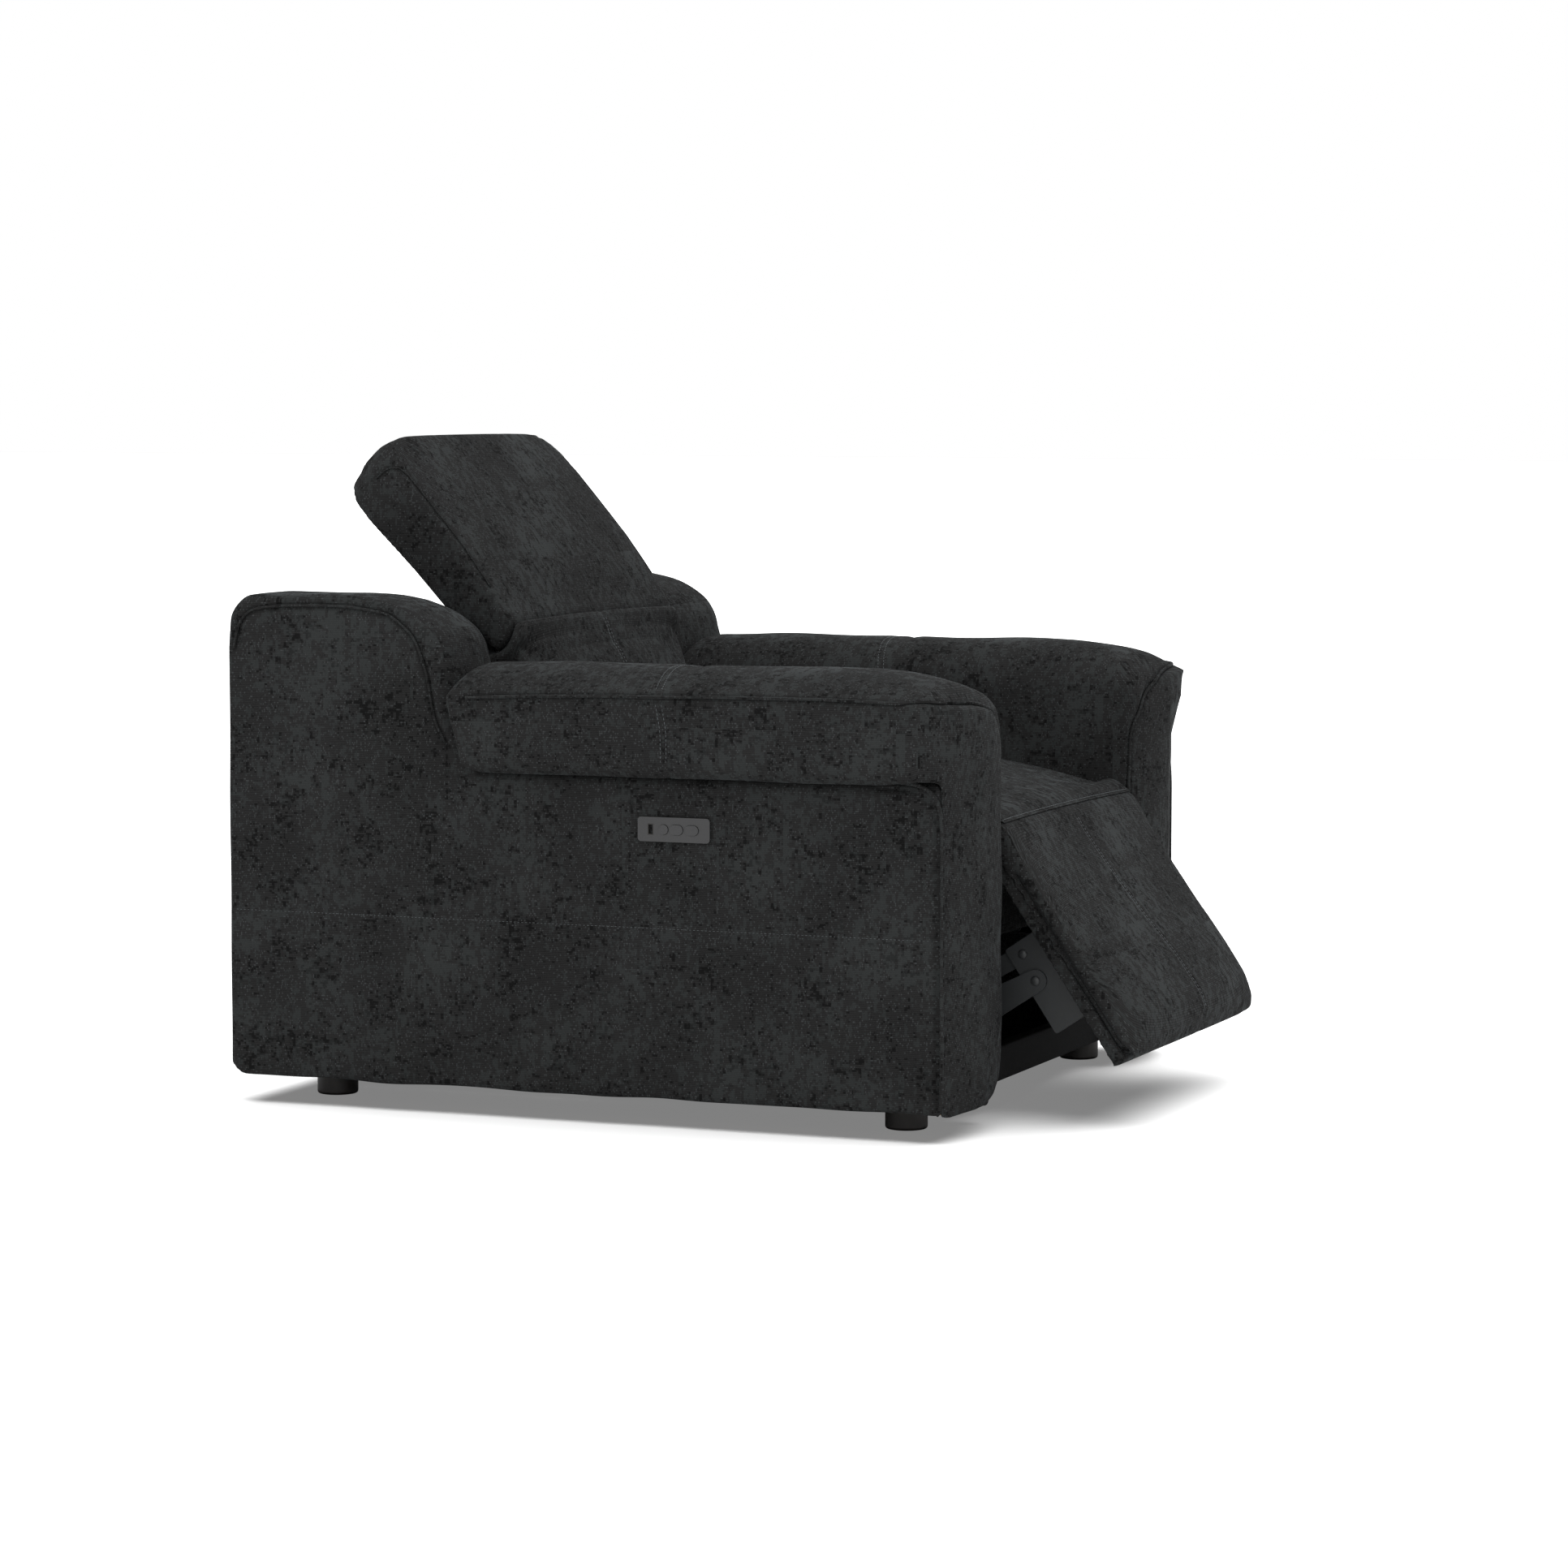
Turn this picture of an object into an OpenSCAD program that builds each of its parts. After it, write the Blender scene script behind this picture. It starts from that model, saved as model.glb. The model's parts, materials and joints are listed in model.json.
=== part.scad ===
// Power recliner with a wing-backed shell, a gliding seat, a folding footrest
// and a ratchet headrest. Sizes are in millimetres, +Z is up and the chair
// faces -Y. Depths are counted back from the seam at the front of the arms.

/* [Shell] */
// Clear width between the arms
seat_gap_w = 610; // [590:1:660]
// Width of one arm, from its inner face to its outer face
arm_w = 209; // [195:1:240]
// Depth of the side panels
shell_d = 1102; // [1080:1:1160]
// Height of the wings above the floor
wing_h = 740; // [725:1:780]
// Thickness of the padded side panels
panel_t = 20; // [14:1:24]
// Thickness of the inner panels
inner_t = 12; // [9:1:15]
// Thickness of the outside back
back_panel_t = 30; // [20:1:36]
// How far the wing roll steps back from outer seam to inner edge
wing_step = 28; // [15:1:35]

/* [Arms] */
// Height of the underside of the arm pads
pad_z = 501; // [490:1:515]
// Thickness of an arm pad at its outer piping
pad_edge_t = 112; // [100:1:120]
// Rise of the arm pad's crown over its outer piping
pad_crown = 34; // [20:1:42]
// Overhang of the arm pads outside the side panels
pad_over = 36; // [20:1:45]
// Swell of the front bands in front of the seam
band_swell = 35; // [20:1:45]
// Radius of the front bands' lower inner corner
band_corner_r = 60; // [30:1:80]

/* [Feet] */
// Diameter of a foot
foot_d = 60; // [50:1:70]
// Height of a foot
foot_h = 40; // [34:1:50]
// Distance of the foot centres inside the outer faces
foot_inset = 135; // [110:1:150]
// Distance of the front feet behind the seam
foot_front = 101; // [80:1:130]
// Distance of the rear feet in front of the back
foot_rear = 106; // [80:1:130]
// Diameter of a foot's stud
stud_d = 10; // [8:1:12]

/* [Timber] */
// Thickness of the arm boards
board_w = 20; // [15:1:24]
// Height of the front rail
front_rail_h = 45; // [30:1:50]
// Height of the rear rail
rear_rail_h = 95; // [60:1:110]

/* [Seat] */
// Clearance between the padding and the arms, each side
side_gap = 7; // [5:0.5:10]
// Height of the underside of the seat cushion
seat_z = 350; // [346:1:354]
// Height of the seat cushion's edge at the back
seat_edge_z = 472; // [462:1:480]
// Crown of the seat cushion at mid width
seat_crown = 18; // [8:1:24]
// Depth of the seat, from the seam to the back cushion
seat_d = 681; // [660:1:684]
// Travel of the gliding seat
glide_travel = 100; // [60:1:105]

/* [Footrest] */
// Depth of the footrest hinge behind the seam
knuckle_y = 5; // [2:1:8]
// Height of the footrest hinge
knuckle_z = 399; // [396:1:402]
// Radius of the padded knuckle round the footrest hinge
knuckle_r = 30; // [28:0.5:31]
// Angle of the footrest from upright, as it stands
rest_lean = 33.8; // [20:0.1:40]
// Length of the footrest from its hinge to its tip
footrest_l = 366; // [340:1:366]
// Thickness of the footrest board
footrest_board_t = 20; // [15:1:20]
// Crown of the footrest near its tip
footrest_crown = 50; // [30:1:55]

/* [Leg linkage] */
// Distance of the crank pivot behind the footrest hinge
link_run = 125; // [115:1:130]
// Distance of the crank pivot below the footrest hinge
link_drop = 70; // [65:1:72]
// Place of the upper pivot along the footrest
upper_along = 152.6; // [150:0.1:156]
// Place of the upper pivot behind the footrest hinge's plane
upper_behind = 61.9; // [60:0.1:64]
// Place of the lower pivot along the footrest
lower_along = 194.4; // [192:0.1:200]
// Place of the lower pivot behind the footrest hinge's plane
lower_behind = 65; // [62:0.1:68]
// Thickness of the steel links and plates
plate_t = 4; // [3:0.5:4]
// Diameter of the link pins
pin_d = 10; // [8:0.5:11]
// Half the distance between the two crank plates
layer_x = 254; // [250:1:256]

/* [Back] */
// Distance of the back hinge behind the seat cushion
back_gap = 119; // [114:1:124]
// Height of the back hinge
back_hinge_z = 400; // [398:1:404]
// Lean of the back frame from upright
back_lean = 11.3; // [10:0.1:12]
// Length of the back frame from its hinge
back_frame_l = 250; // [235:1:254]
// Greatest recline from the rest pose, in degrees
recline_max = 22; // [12:1:22]
// Height of the underside of the back cushion
back_cushion_z = 432; // [428:1:440]
// Crown of the back cushion at mid width
back_crown = 20; // [8:1:24]

/* [Headrest] */
// Distance of the headrest hinge in front of the back hinge
head_set = 9; // [6:1:12]
// Height of the headrest hinge
head_z = 687; // [684:1:692]
// Radius of the padded knuckle round the headrest hinge
head_r = 40; // [36:1:41]
// Lean of the headrest from upright, folded back
head_lean = 43; // [40:0.5:45]
// Length of the headrest from its hinge
head_l = 305; // [270:1:310]
// Thickness of the headrest behind its hinge
head_rear = 28; // [26:1:30]
// Crown of the headrest at mid width
head_crown = 22; // [10:1:26]
// Radius of the headrest's top corners
head_corner_r = 65; // [40:1:80]

/* [Controls] */
// Length of the control plate
plate_l = 109; // [100:1:120]
// Height of the control plate
plate_h = 34.5; // [32:0.5:40]
// Depth of the control plate's centre behind the seam
plate_y = 396.4; // [380:0.1:420]
// Height of the control plate's centre
plate_z = 421.5; // [400:0.1:440]
// Thickness of the control plate
plate_face_t = 3; // [2:0.5:4]
// Diameter of the round button
round_d = 14; // [11:0.5:16]
// Length of an oval button
oval_l = 20; // [17:0.5:22]
// Width of an oval button
oval_w = 14; // [11:0.5:16]
// Distance between the two oval buttons' centres
oval_pitch = 23.5; // [23:0.1:26]
// Travel of a button
button_travel = 1.2; // [0.8:0.1:1.5]

/* [Hidden] */
$fn = 48;
fabric = [0.19, 0.2, 0.205];
cloth_black = [0.08, 0.08, 0.085];
timber = [0.72, 0.58, 0.4];
steel = [0.23, 0.24, 0.25];
zinc = [0.6, 0.61, 0.62];
plastic = [0.07, 0.07, 0.075];
satin = [0.25, 0.26, 0.27];

// Planes of the shell
arm_in = seat_gap_w / 2;
arm_out = arm_in + arm_w;
pad_out = arm_out + pad_over;
cavity_in = arm_in + inner_t;
cavity_out = arm_out - panel_t;
back_in_y = shell_d - back_panel_t;
pad_edge_z = pad_z + pad_edge_t;
crown_z = pad_edge_z + pad_crown;
crown_x = arm_in + 0.6 * arm_w;
wing_foot_y = 716;
wing_rake = 0.245;
wing_a = 167;
wing_b = 85;
wing_end = 42;
wing_turn_z = wing_h - wing_b;
wing_turn_y = wing_foot_y + (wing_turn_z - pad_z) * wing_rake;
tip_reach = footrest_l * sin(rest_lean) + 17;
mid_y = (shell_d - tip_reach) / 2;

// Pivots, as depth and height
back_hinge_y = seat_d + back_gap;
head_y = back_hinge_y - head_set;
knuckle = [knuckle_y, knuckle_z];
along = [-sin(rest_lean), -cos(rest_lean)];
behind = [cos(rest_lean), -sin(rest_lean)];
function leg(s, t) = knuckle + s * along + t * behind;
upper_pin = leg(upper_along, upper_behind);
lower_pin = leg(lower_along, lower_behind);
link = [link_run, -link_drop];
crank_pin = knuckle + link;
back_hinge = [back_hinge_y, back_hinge_z];
back_up = [sin(back_lean), cos(back_lean)];
back_out = [cos(back_lean), -sin(back_lean)];
function back_at(u, w) = back_hinge + u * back_up + w * back_out;
head = [head_y, head_z];
head_up = [sin(head_lean), cos(head_lean)];
head_front = [-cos(head_lean), sin(head_lean)];
function head_at(u, f) = head + u * head_up + f * head_front;

// Layers of the linkage, counted from the middle of the chair
run_gap = 0.5;
pin_gap = 0.08;
loose_gap = 0.6;
outer_link_x = layer_x + plate_t + run_gap;
inner_link_x = layer_x - plate_t - run_gap;
side_plate_x = outer_link_x + plate_t + run_gap;
rail_x = side_plate_x + plate_t;
rail_w = 20;
cushion_hw = arm_in - side_gap;
rail_h = 46;
rail_z = seat_z - 4 - rail_h;
spring_t = 4;
lever_r = 60;
lever_mid = 8.1;
back_lever_r = 130;
yoke_z = crank_pin[1] - lever_r * (1 + cos(41.9)) / 2;
back_yoke_z = back_hinge_z - back_lever_r * (1 + cos(recline_max)) / 2;
track_z = 220;
shoe_h = 30;
shoe_l = 60;
flange_t = 3;
leg_x = -60;
recline_x = 60;

function lerp(a, b, k) = a + (b - a) * k;
function arc(c, r, a0, a1, n) =
  [for (i = [0:n]) c + r * [cos(lerp(a0, a1, i / n)), sin(lerp(a0, a1, i / n))]];
function oval(c, a, b, a0, a1, n) =
  [for (i = [0:n]) c + [a * cos(lerp(a0, a1, i / n)), b * sin(lerp(a0, a1, i / n))]];
function mix(p, q, k) = [for (i = [0:len(p) - 1]) lerp(p[i], q[i], k)];
function swell(k, p) = pow(max(0, 1 - pow(abs(k), p)), 1 / p);

module centred() {
  translate([0, -mid_y, 0]) children();
}

module right() {
  mirror([1, 0, 0]) children();
}

module pair() {
  children();
  right() children();
}

module block(lo, hi) {
  translate(lo) cube(hi - lo);
}

// A flat plate across the chair, drawn as depth and height
module slab(x, t) {
  translate([x, 0, 0]) rotate([90, 0, 90]) linear_extrude(t) children();
}

module round_bar(x0, x1, c, d) {
  translate([x0, c[0], c[1]]) rotate([0, 90, 0]) cylinder(h = x1 - x0, d = d);
}

// A bar with round ends, its sides a hair inside the tangents of both
module strap(a, b, ra, rb) {
  hair = 0.02;
  l = norm(b - a);
  u = (b - a) / l;
  v = [-u[1], u[0]];
  k = (ra - rb) / l;
  s = sqrt(1 - k * k);
  translate(a) circle(r = ra);
  translate(b) circle(r = rb);
  polygon([for (e = [[a, ra, s], [a, ra, -s], [b, rb, -s], [b, rb, s]])
    e[0] + (e[1] - hair) * (k * u + e[2] * v)]);
}

module hole(c, d) {
  translate(c) circle(d = d);
}

// A closed skin over rings of points, each ring with as many points. The ends
// are flat, or zipped from side to side where an end ring is hollow
module loft(rings, flip = false, zip = false) {
  n = len(rings[0]);
  m = len(rings);
  walls = [for (i = [0:m - 2], j = [0:n - 1], h = [0, 1])
    let (a = i * n + j, b = i * n + (j + 1) % n)
    h == 0 ? [a, a + n, b + n] : [a, b + n, b]];
  steps = [for (j = [0:n / 2 - 2]) each [[j, j + 1, n - 1 - j], [j + 1, n - 2 - j, n - 1 - j]]];
  flat = [[for (j = [0:n - 1]) j], [for (j = [n - 1:-1:0]) (m - 1) * n + j]];
  zipped = concat(steps, [for (f = steps) (m - 1) * n * [1, 1, 1] + [f[2], f[1], f[0]]]);
  caps = zip ? zipped : flat;
  faces = concat(walls, caps);
  turned = [for (f = faces) [for (j = [len(f) - 1:-1:0]) f[j]]];
  polyhedron([for (r = rings) each r], flip ? turned : faces);
}

// Rings of a cushion that runs across the chair, drawn as depth and height
function across(edge, mid, hw, p, channel) =
  [for (k = [-1, -0.97, -0.88, -0.7, -0.45, -0.2, -0.03, 0, 0.03, 0.2, 0.45, 0.7, 0.88, 0.97, 1])
    let (c = swell(k, p) - (abs(k) < 0.01 ? channel : 0), q = mix(edge, mid, c),
      g = [for (i = [0, 1]) let (v = [for (e = q) e[i]]) (min(v) + max(v)) / 2],
      f = abs(k) > 0.99 ? 0.96 : 1)
    [for (e = q) let (z = g + (e - g) * f) [k * hw, z[0], z[1]]]];

// Wing outline from its foot, over the top, to the back
function wing_curve(step) = concat(
  [[wing_foot_y + step, pad_z]],
  oval([wing_turn_y + wing_a + step, wing_turn_z - step / 3], wing_a, wing_b, 180, 90, 7),
  oval([shell_d - wing_end, wing_h - wing_end - step / 3], wing_end, wing_end, 90, 0, 5));

module side_panel() {
  corner = 25;
  slab(cavity_out, panel_t) polygon(concat(
    [[0, foot_h], [0, pad_z]],
    wing_curve(0),
    arc([shell_d - corner, foot_h + corner], corner, 0, -90, 5)));
}

module left_side_panel() {
  color(fabric) centred() side_panel();
}

module right_side_panel() {
  color(fabric) centred() difference() {
    right() side_panel();
    switch_space(0.3);
  }
}

// Front seam of an arm: rises from the inner edge to the outer one
seam_low = 485;
seam_run = arm_w + 3;
seam_rise = pad_edge_z + 4 - seam_low;
seam_pow = 2.7;
function seam_z(x) = seam_low + seam_rise * swell((arm_out + 5 - max(x, arm_in + 2)) / seam_run, seam_pow);
function seam_x(z) = arm_out + 5 - seam_run * swell((z - seam_low) / seam_rise, seam_pow);

pad_roll_z = pad_z + 39;
function pad_top(x, crown, out) = x < crown_x
  ? pad_roll_z + (crown - pad_roll_z) * swell((crown_x - x) / (crown_x - arm_in), 2.7)
  : crown - (crown - pad_edge_z) * pow((x - crown_x) / (out - crown_x), 2);

// One ring of an arm pad. The underside is the front seam or the flat board,
// rise is how much of the crown stands there, and setback is the gap to the wing
function pad_ring(y, out, rise, on_seam, dip, setback) =
  let (n = 12, in = arm_in + (on_seam ? 4 : 0),
    xs = [for (i = [0:n]) in + (out - in) * pow(i / n, 1.6)],
    low = [for (x = xs) on_seam ? seam_z(x) + 2 : pad_z],
    base = [for (x = xs) on_seam ? seam_z(x) + 3 : pad_roll_z],
    high = [for (i = [0:n]) base[i] + max(0, pad_top(xs[i], crown_z - dip, out) - base[i]) * rise])
  concat(
    [for (i = [0:n]) [xs[i], setback == 0 ? y : wing_line(xs[i], low[i]) - setback, low[i]]],
    [for (i = [n:-1:0]) [xs[i], setback == 0 ? y : wing_line(xs[i], high[i]) - setback, high[i]]]);

pad_seam_y = 398;
function pad_rings() = concat(
  [for (s = [[-15, 0.25, 0], [-11, 0.62, 2], [-5, 0.9, 5], [-0.3, 1, 6]])
    pad_ring(s[0], arm_out + s[2], s[1], true, 2, 0)],
  [for (s = [[0, 6], [12, 20], [35, pad_over]]) pad_ring(s[0], arm_out + s[1], 1, false, 1, 0)],
  [for (s = [[120, 0], [300, 0], [pad_seam_y - 12, 0], [pad_seam_y, 5], [pad_seam_y + 12, 0], [620, 0]])
    pad_ring(s[0], pad_out, 1, false, s[1], 0)],
  [pad_ring(0, pad_out, 0.97, false, 0, 24), pad_ring(0, pad_out - 6, 0.8, false, 0, 2)]);

function wing_line(x, z) = let (step = wing_step * wing_share(x), top = wing_turn_z - step / 3)
  wing_foot_y + step + (min(z, top) - pad_z) * (wing_turn_y - wing_foot_y) / (top - pad_z);

module arm_pad() {
  loft(pad_rings(), true, true);
}

module left_arm_pad() {
  color(fabric) centred() arm_pad();
}

module right_arm_pad() {
  color(fabric) centred() right() arm_pad();
}

// Front band: a swelling panel down the front of an arm
module front_band() {
  top = seam_low + seam_rise;
  base = foot_h + 7;
  mid = (base + seam_low) / 2;
  heights = concat([base, base + 8, base + 22, base + 42, base + band_corner_r, mid, seam_low],
    [for (k = [0.45, 0.7, 0.85, 0.94, 0.985]) seam_low + seam_rise * k]);
  n = 10;
  rings = [for (z = heights)
    let (c = max(0, base + band_corner_r - z) / band_corner_r,
      turn = band_corner_r * (1 - sqrt(1 - c * c)) * 0.9,
      x0 = z < mid ? arm_in + turn : z > seam_low ? seam_x(z) : arm_in,
      x1 = z > seam_low ? arm_out + 5 * (z - seam_low) / seam_rise : arm_out,
      w = (x1 - x0) / 2,
      d = min(band_swell, w * 0.9) * (z < base + 1 ? 0.55 : z < base + 10 ? 0.85 : 1))
    concat(
      [[x1, -0.3, z], [x0, -0.3, z]],
      [for (i = [0:n]) let (k = lerp(-1, 1, i / n)) [x0 + w * (1 + k), -4 - (d - 4) * swell(k, 2.2), z]])];
  loft(rings);
}

module left_front_band() {
  color(fabric) centred() front_band();
}

module right_front_band() {
  color(fabric) centred() right() front_band();
}

// Wing pad: the roll between the side panel and the inner edge
wing_shares = [[arm_in, 1], [arm_in + 6, 0.86], [arm_in + 40, 0.4], [(arm_in + cavity_out) / 2, 0.05],
  [cavity_out - 20, -0.05], [cavity_out, 0]];
function wing_share(x) = lookup(x, wing_shares);
module wing_pad() {
  over = [[shell_d, back_top_z], [back_in_y, back_top_z], [back_in_y, pad_z]];
  loft([for (s = wing_shares)
    [for (e = concat(wing_curve(wing_step * s[1]), over)) [s[0], e[0], e[1]]]], true);
}

module post_space() {
  block([cavity_in + 20, post_y, pad_z - 1], [cavity_out - 20, post_y + board_w, post_top]);
}

post_y = 950;
post_top = wing_h - 60;

module left_wing_pad() {
  color(fabric) centred() difference() {
    wing_pad();
    post_space();
  }
}

module right_wing_pad() {
  color(fabric) centred() right() difference() {
    wing_pad();
    post_space();
  }
}

module inner_panel() {
  block([arm_in, 0, foot_h], [cavity_in, back_in_y, pad_z]);
}

module left_inner_panel() {
  color(fabric) centred() inner_panel();
}

module right_inner_panel() {
  color(fabric) centred() difference() {
    right() inner_panel();
    round_bar(-cavity_in - 1, -arm_in + 1, [lead_y, lead_z], lead_d + 1);
  }
}

foot_x = arm_out - foot_inset;
foot_ys = [foot_front, shell_d - foot_rear];

// Timber box inside an arm, with the post that stands up in the wing
module arm_frame() {
  difference() {
    union() {
      block([cavity_in, 0, foot_h], [cavity_out, back_in_y, foot_h + board_w]);
      block([cavity_in, 0, pad_z - board_w], [cavity_out, back_in_y, pad_z]);
      block([cavity_in, 0, foot_h], [cavity_out, board_w, pad_z]);
      block([cavity_in, back_in_y - board_w, foot_h], [cavity_out, back_in_y, pad_z]);
      block([cavity_in + 20, post_y, pad_z - 1], [cavity_out - 20, post_y + board_w, post_top]);
    }
    for (y = foot_ys) translate([foot_x, y, foot_h - 1]) cylinder(h = board_w + 2, d = stud_d + 0.6);
  }
}

module left_arm_frame() {
  color(timber) centred() arm_frame();
}

module right_arm_frame() {
  color(timber) centred() right() arm_frame();
}

inlet_x = -150;
inlet_z = 110;
inlet_d = 24;

// Outside back: closes the shell between the side panels, under the wing rolls
back_top_z = wing_h - wing_end - wing_step / 3 - 2;
module outside_back() {
  color(fabric) centred() difference() {
    block([-cavity_out, back_in_y, foot_h], [cavity_out, shell_d, back_top_z]);
    translate([inlet_x, back_in_y - 1, inlet_z]) rotate([-90, 0, 0])
      cylinder(h = back_panel_t + 2, d = inlet_d + 0.6);
  }
}

// Front and rear rails that join the two arm boxes
rail_base_z = foot_h + 5;
module base_rails() {
  color(timber) centred() {
    block([-arm_in, 36, rail_base_z], [arm_in, 36 + board_w, rail_base_z + front_rail_h]);
    block([-arm_in, back_in_y - board_w, rail_base_z], [arm_in, back_in_y, rail_base_z + rear_rail_h]);
  }
}

module foot() {
  edge = 4;
  r = foot_d / 2;
  profile = concat([[0, 0]], arc([r - edge, edge], edge, -90, 0, 4), [[r, foot_h], [0, foot_h]]);
  rotate_extrude() polygon(profile);
  translate([0, 0, foot_h - 1]) cylinder(h = board_w, d = stud_d);
}

module feet() {
  color(plastic) centred() pair() for (y = foot_ys) translate([foot_x, y, 0]) foot();
}

// Channel that the glide shoes run in, with stand-offs to the inner panel
shoe_ys = [190, 590];
track_y0 = shoe_ys[0] - glide_travel - 10;
track_y1 = shoe_ys[1] + shoe_l + 30;
shoe_gap = 0.3;
web_x = rail_x + rail_w;
module track() {
  half = shoe_h / 2 + shoe_gap;
  reach = half + flange_t;
  block([web_x, track_y0, track_z - reach], [web_x + flange_t, track_y1, track_z + reach]);
  for (z = [track_z - reach, track_z + half])
    block([side_plate_x + plate_t + 1, track_y0, z], [web_x + 0.5, track_y1, z + flange_t]);
  for (y = [track_y0 + 40, (track_y0 + track_y1) / 2, track_y1 - 70])
    block([web_x, y, track_z - 10], [arm_in, y + 30, track_z + 10]);
}

module left_track() {
  color(steel) centred() track();
}

module right_track() {
  color(steel) centred() right() track();
}

tube_d = 25;
base_tube_at = [[330, 150], [930, 150]];
module base_tubes() {
  color(steel) centred() for (c = base_tube_at) round_bar(-arm_in, arm_in, c, tube_d);
}

// Slot that a roller of the back frame runs in as the seat glides forward
roller_d = 12;
guide_rel = [80, 240];
guide_top = back_hinge + guide_rel;
function turned(v, a) = [v[0] * cos(a) + v[1] * sin(a), v[1] * cos(a) - v[0] * sin(a)];
guide_low = back_hinge - [glide_travel, 0] + turned(guide_rel, recline_max);
guide_slack = 2.6;
guide_t = 3;
module guide_plates() {
  slot_r = (roller_d + guide_slack) / 2;
  edge = 24;
  color(steel) centred() pair() difference() {
    slab(arm_in - guide_t, guide_t) strap(guide_top, guide_low, slot_r + edge, slot_r + edge);
    slab(arm_in - guide_t - 1, guide_t + 2) strap(guide_top, guide_low, slot_r, slot_r);
  }
}

// Control plate on the right side, with its buttons and socket
oval_ys = [plate_y - 4.2, plate_y - 4.2 - oval_pitch];
round_y = oval_ys[0] + 19.4;
usb_y = round_y + 19.8;
usb_w = 13;
usb_h = 6;
button_gap = 0.4;
box_deep = 27;
box_clear = 4;
face_x = -arm_out - plate_face_t;
button_proud = 1.5;
collar_t = 3;

module box_block(x0, x1, g) {
  y = plate_l / 2 - box_clear + g;
  z = plate_h / 2 - box_clear + g;
  block([x0, plate_y - y, plate_z - z], [x1, plate_y + y, plate_z + z]);
}

module switch_space(g) {
  box_block(-arm_out - 1, -arm_out + box_deep + g, g);
}

module oval_2d(l, w) {
  for (s = [-1, 1]) translate([s * (l - w) / 2, 0]) circle(d = w);
  square([l - w, w], center = true);
}

module button_holes(g) {
  translate([round_y, plate_z]) circle(d = round_d + 2 * g);
  for (y = oval_ys) translate([y, plate_z]) oval_2d(oval_l + 2 * g, oval_w + 2 * g);
}

module control_plate() {
  r = 5;
  color(satin) centred() slab(face_x, plate_face_t) difference() {
    union() {
      for (a = [-1, 1], b = [-1, 1])
        translate([plate_y + a * (plate_l / 2 - r), plate_z + b * (plate_h / 2 - r)]) circle(r = r);
      translate([plate_y, plate_z]) square([plate_l, plate_h - 2 * r], center = true);
      translate([plate_y, plate_z]) square([plate_l - 2 * r, plate_h], center = true);
    }
    button_holes(button_gap);
    translate([usb_y, plate_z]) square([usb_h + 3, usb_w + 3], center = true);
  }
}

// Box behind the plate that holds the switches
module switch_box() {
  wall = 2;
  color(plastic) centred() difference() {
    box_block(-arm_out, -arm_out + box_deep, 0);
    box_block(-arm_out - 1, -arm_out + box_deep - wall, -wall);
  }
}

module usb_socket() {
  color(plastic) centred() slab(face_x, plate_face_t + 12) difference() {
    translate([usb_y, plate_z]) square([usb_h + 3, usb_w + 3], center = true);
    translate([usb_y, plate_z]) square([usb_h, usb_w], center = true);
  }
}

// A button: a cap through the plate, a collar behind it
module cap(y) {
  slab(face_x - button_proud, button_proud + plate_face_t + button_travel)
    translate([y, plate_z]) children();
}

stem_x = face_x + plate_face_t + button_travel;
module button_stem(y) {
  round_bar(stem_x - 0.5, stem_x + collar_t, [y, plate_z], 8);
}

module home_button() {
  color(satin) centred() {
    cap(round_y) circle(d = round_d);
    button_stem(round_y);
  }
}

module recline_button() {
  color(satin) centred() {
    cap(oval_ys[0]) oval_2d(oval_l, oval_w);
    button_stem(oval_ys[0]);
  }
}

module upright_button() {
  color(satin) centred() {
    cap(oval_ys[1]) oval_2d(oval_l, oval_w);
    button_stem(oval_ys[1]);
  }
}

module button_springs() {
  x0 = stem_x + collar_t + button_travel + 0.3;
  color(zinc) centred() for (y = concat([round_y], oval_ys)) difference() {
    round_bar(x0, -arm_out + box_deep - 2, [y, plate_z], 7);
    round_bar(x0 - 1, -arm_out + box_deep, [y, plate_z], 5);
  }
}

// Power supply on the rear rail, inlet through the outside back
supply_w = 180;
supply_d = 60;
supply_h = 50;
module power_supply() {
  y = back_in_y - board_w;
  color(plastic) centred()
    block([-supply_w / 2, y - supply_d, rail_base_z + 12], [supply_w / 2, y, rail_base_z + 12 + supply_h]);
}

module power_inlet() {
  wall = 3;
  color(plastic) centred() translate([inlet_x, 0, inlet_z]) rotate([-90, 0, 0]) difference() {
    union() {
      translate([0, 0, back_in_y]) cylinder(h = back_panel_t, d = inlet_d);
      translate([0, 0, shell_d]) cylinder(h = 2, d = inlet_d + 12);
    }
    translate([0, 0, back_in_y + 8]) cylinder(h = back_panel_t, d = inlet_d - 2 * wall);
  }
}

// Lead from the switch box, down the arm and across to the power supply
lead_d = 6;
lead_x = -arm_out + box_deep + 40;
lead_y = back_in_y - board_w - 32;
lead_z = foot_h + board_w + lead_d / 2;
module bead(c) {
  translate(c) sphere(d = lead_d);
}

module switch_lead() {
  color(plastic) centred() {
    round_bar(-arm_out + box_deep, lead_x, [plate_y, plate_z], lead_d);
    bead([lead_x, plate_y, plate_z]);
    translate([lead_x, plate_y, lead_z]) cylinder(h = plate_z - lead_z, d = lead_d);
    bead([lead_x, plate_y, lead_z]);
    translate([lead_x, plate_y, lead_z]) rotate([-90, 0, 0]) cylinder(h = lead_y - plate_y, d = lead_d);
    bead([lead_x, lead_y, lead_z]);
    round_bar(lead_x, -supply_w / 2, [lead_y, lead_z], lead_d);
  }
}

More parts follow.
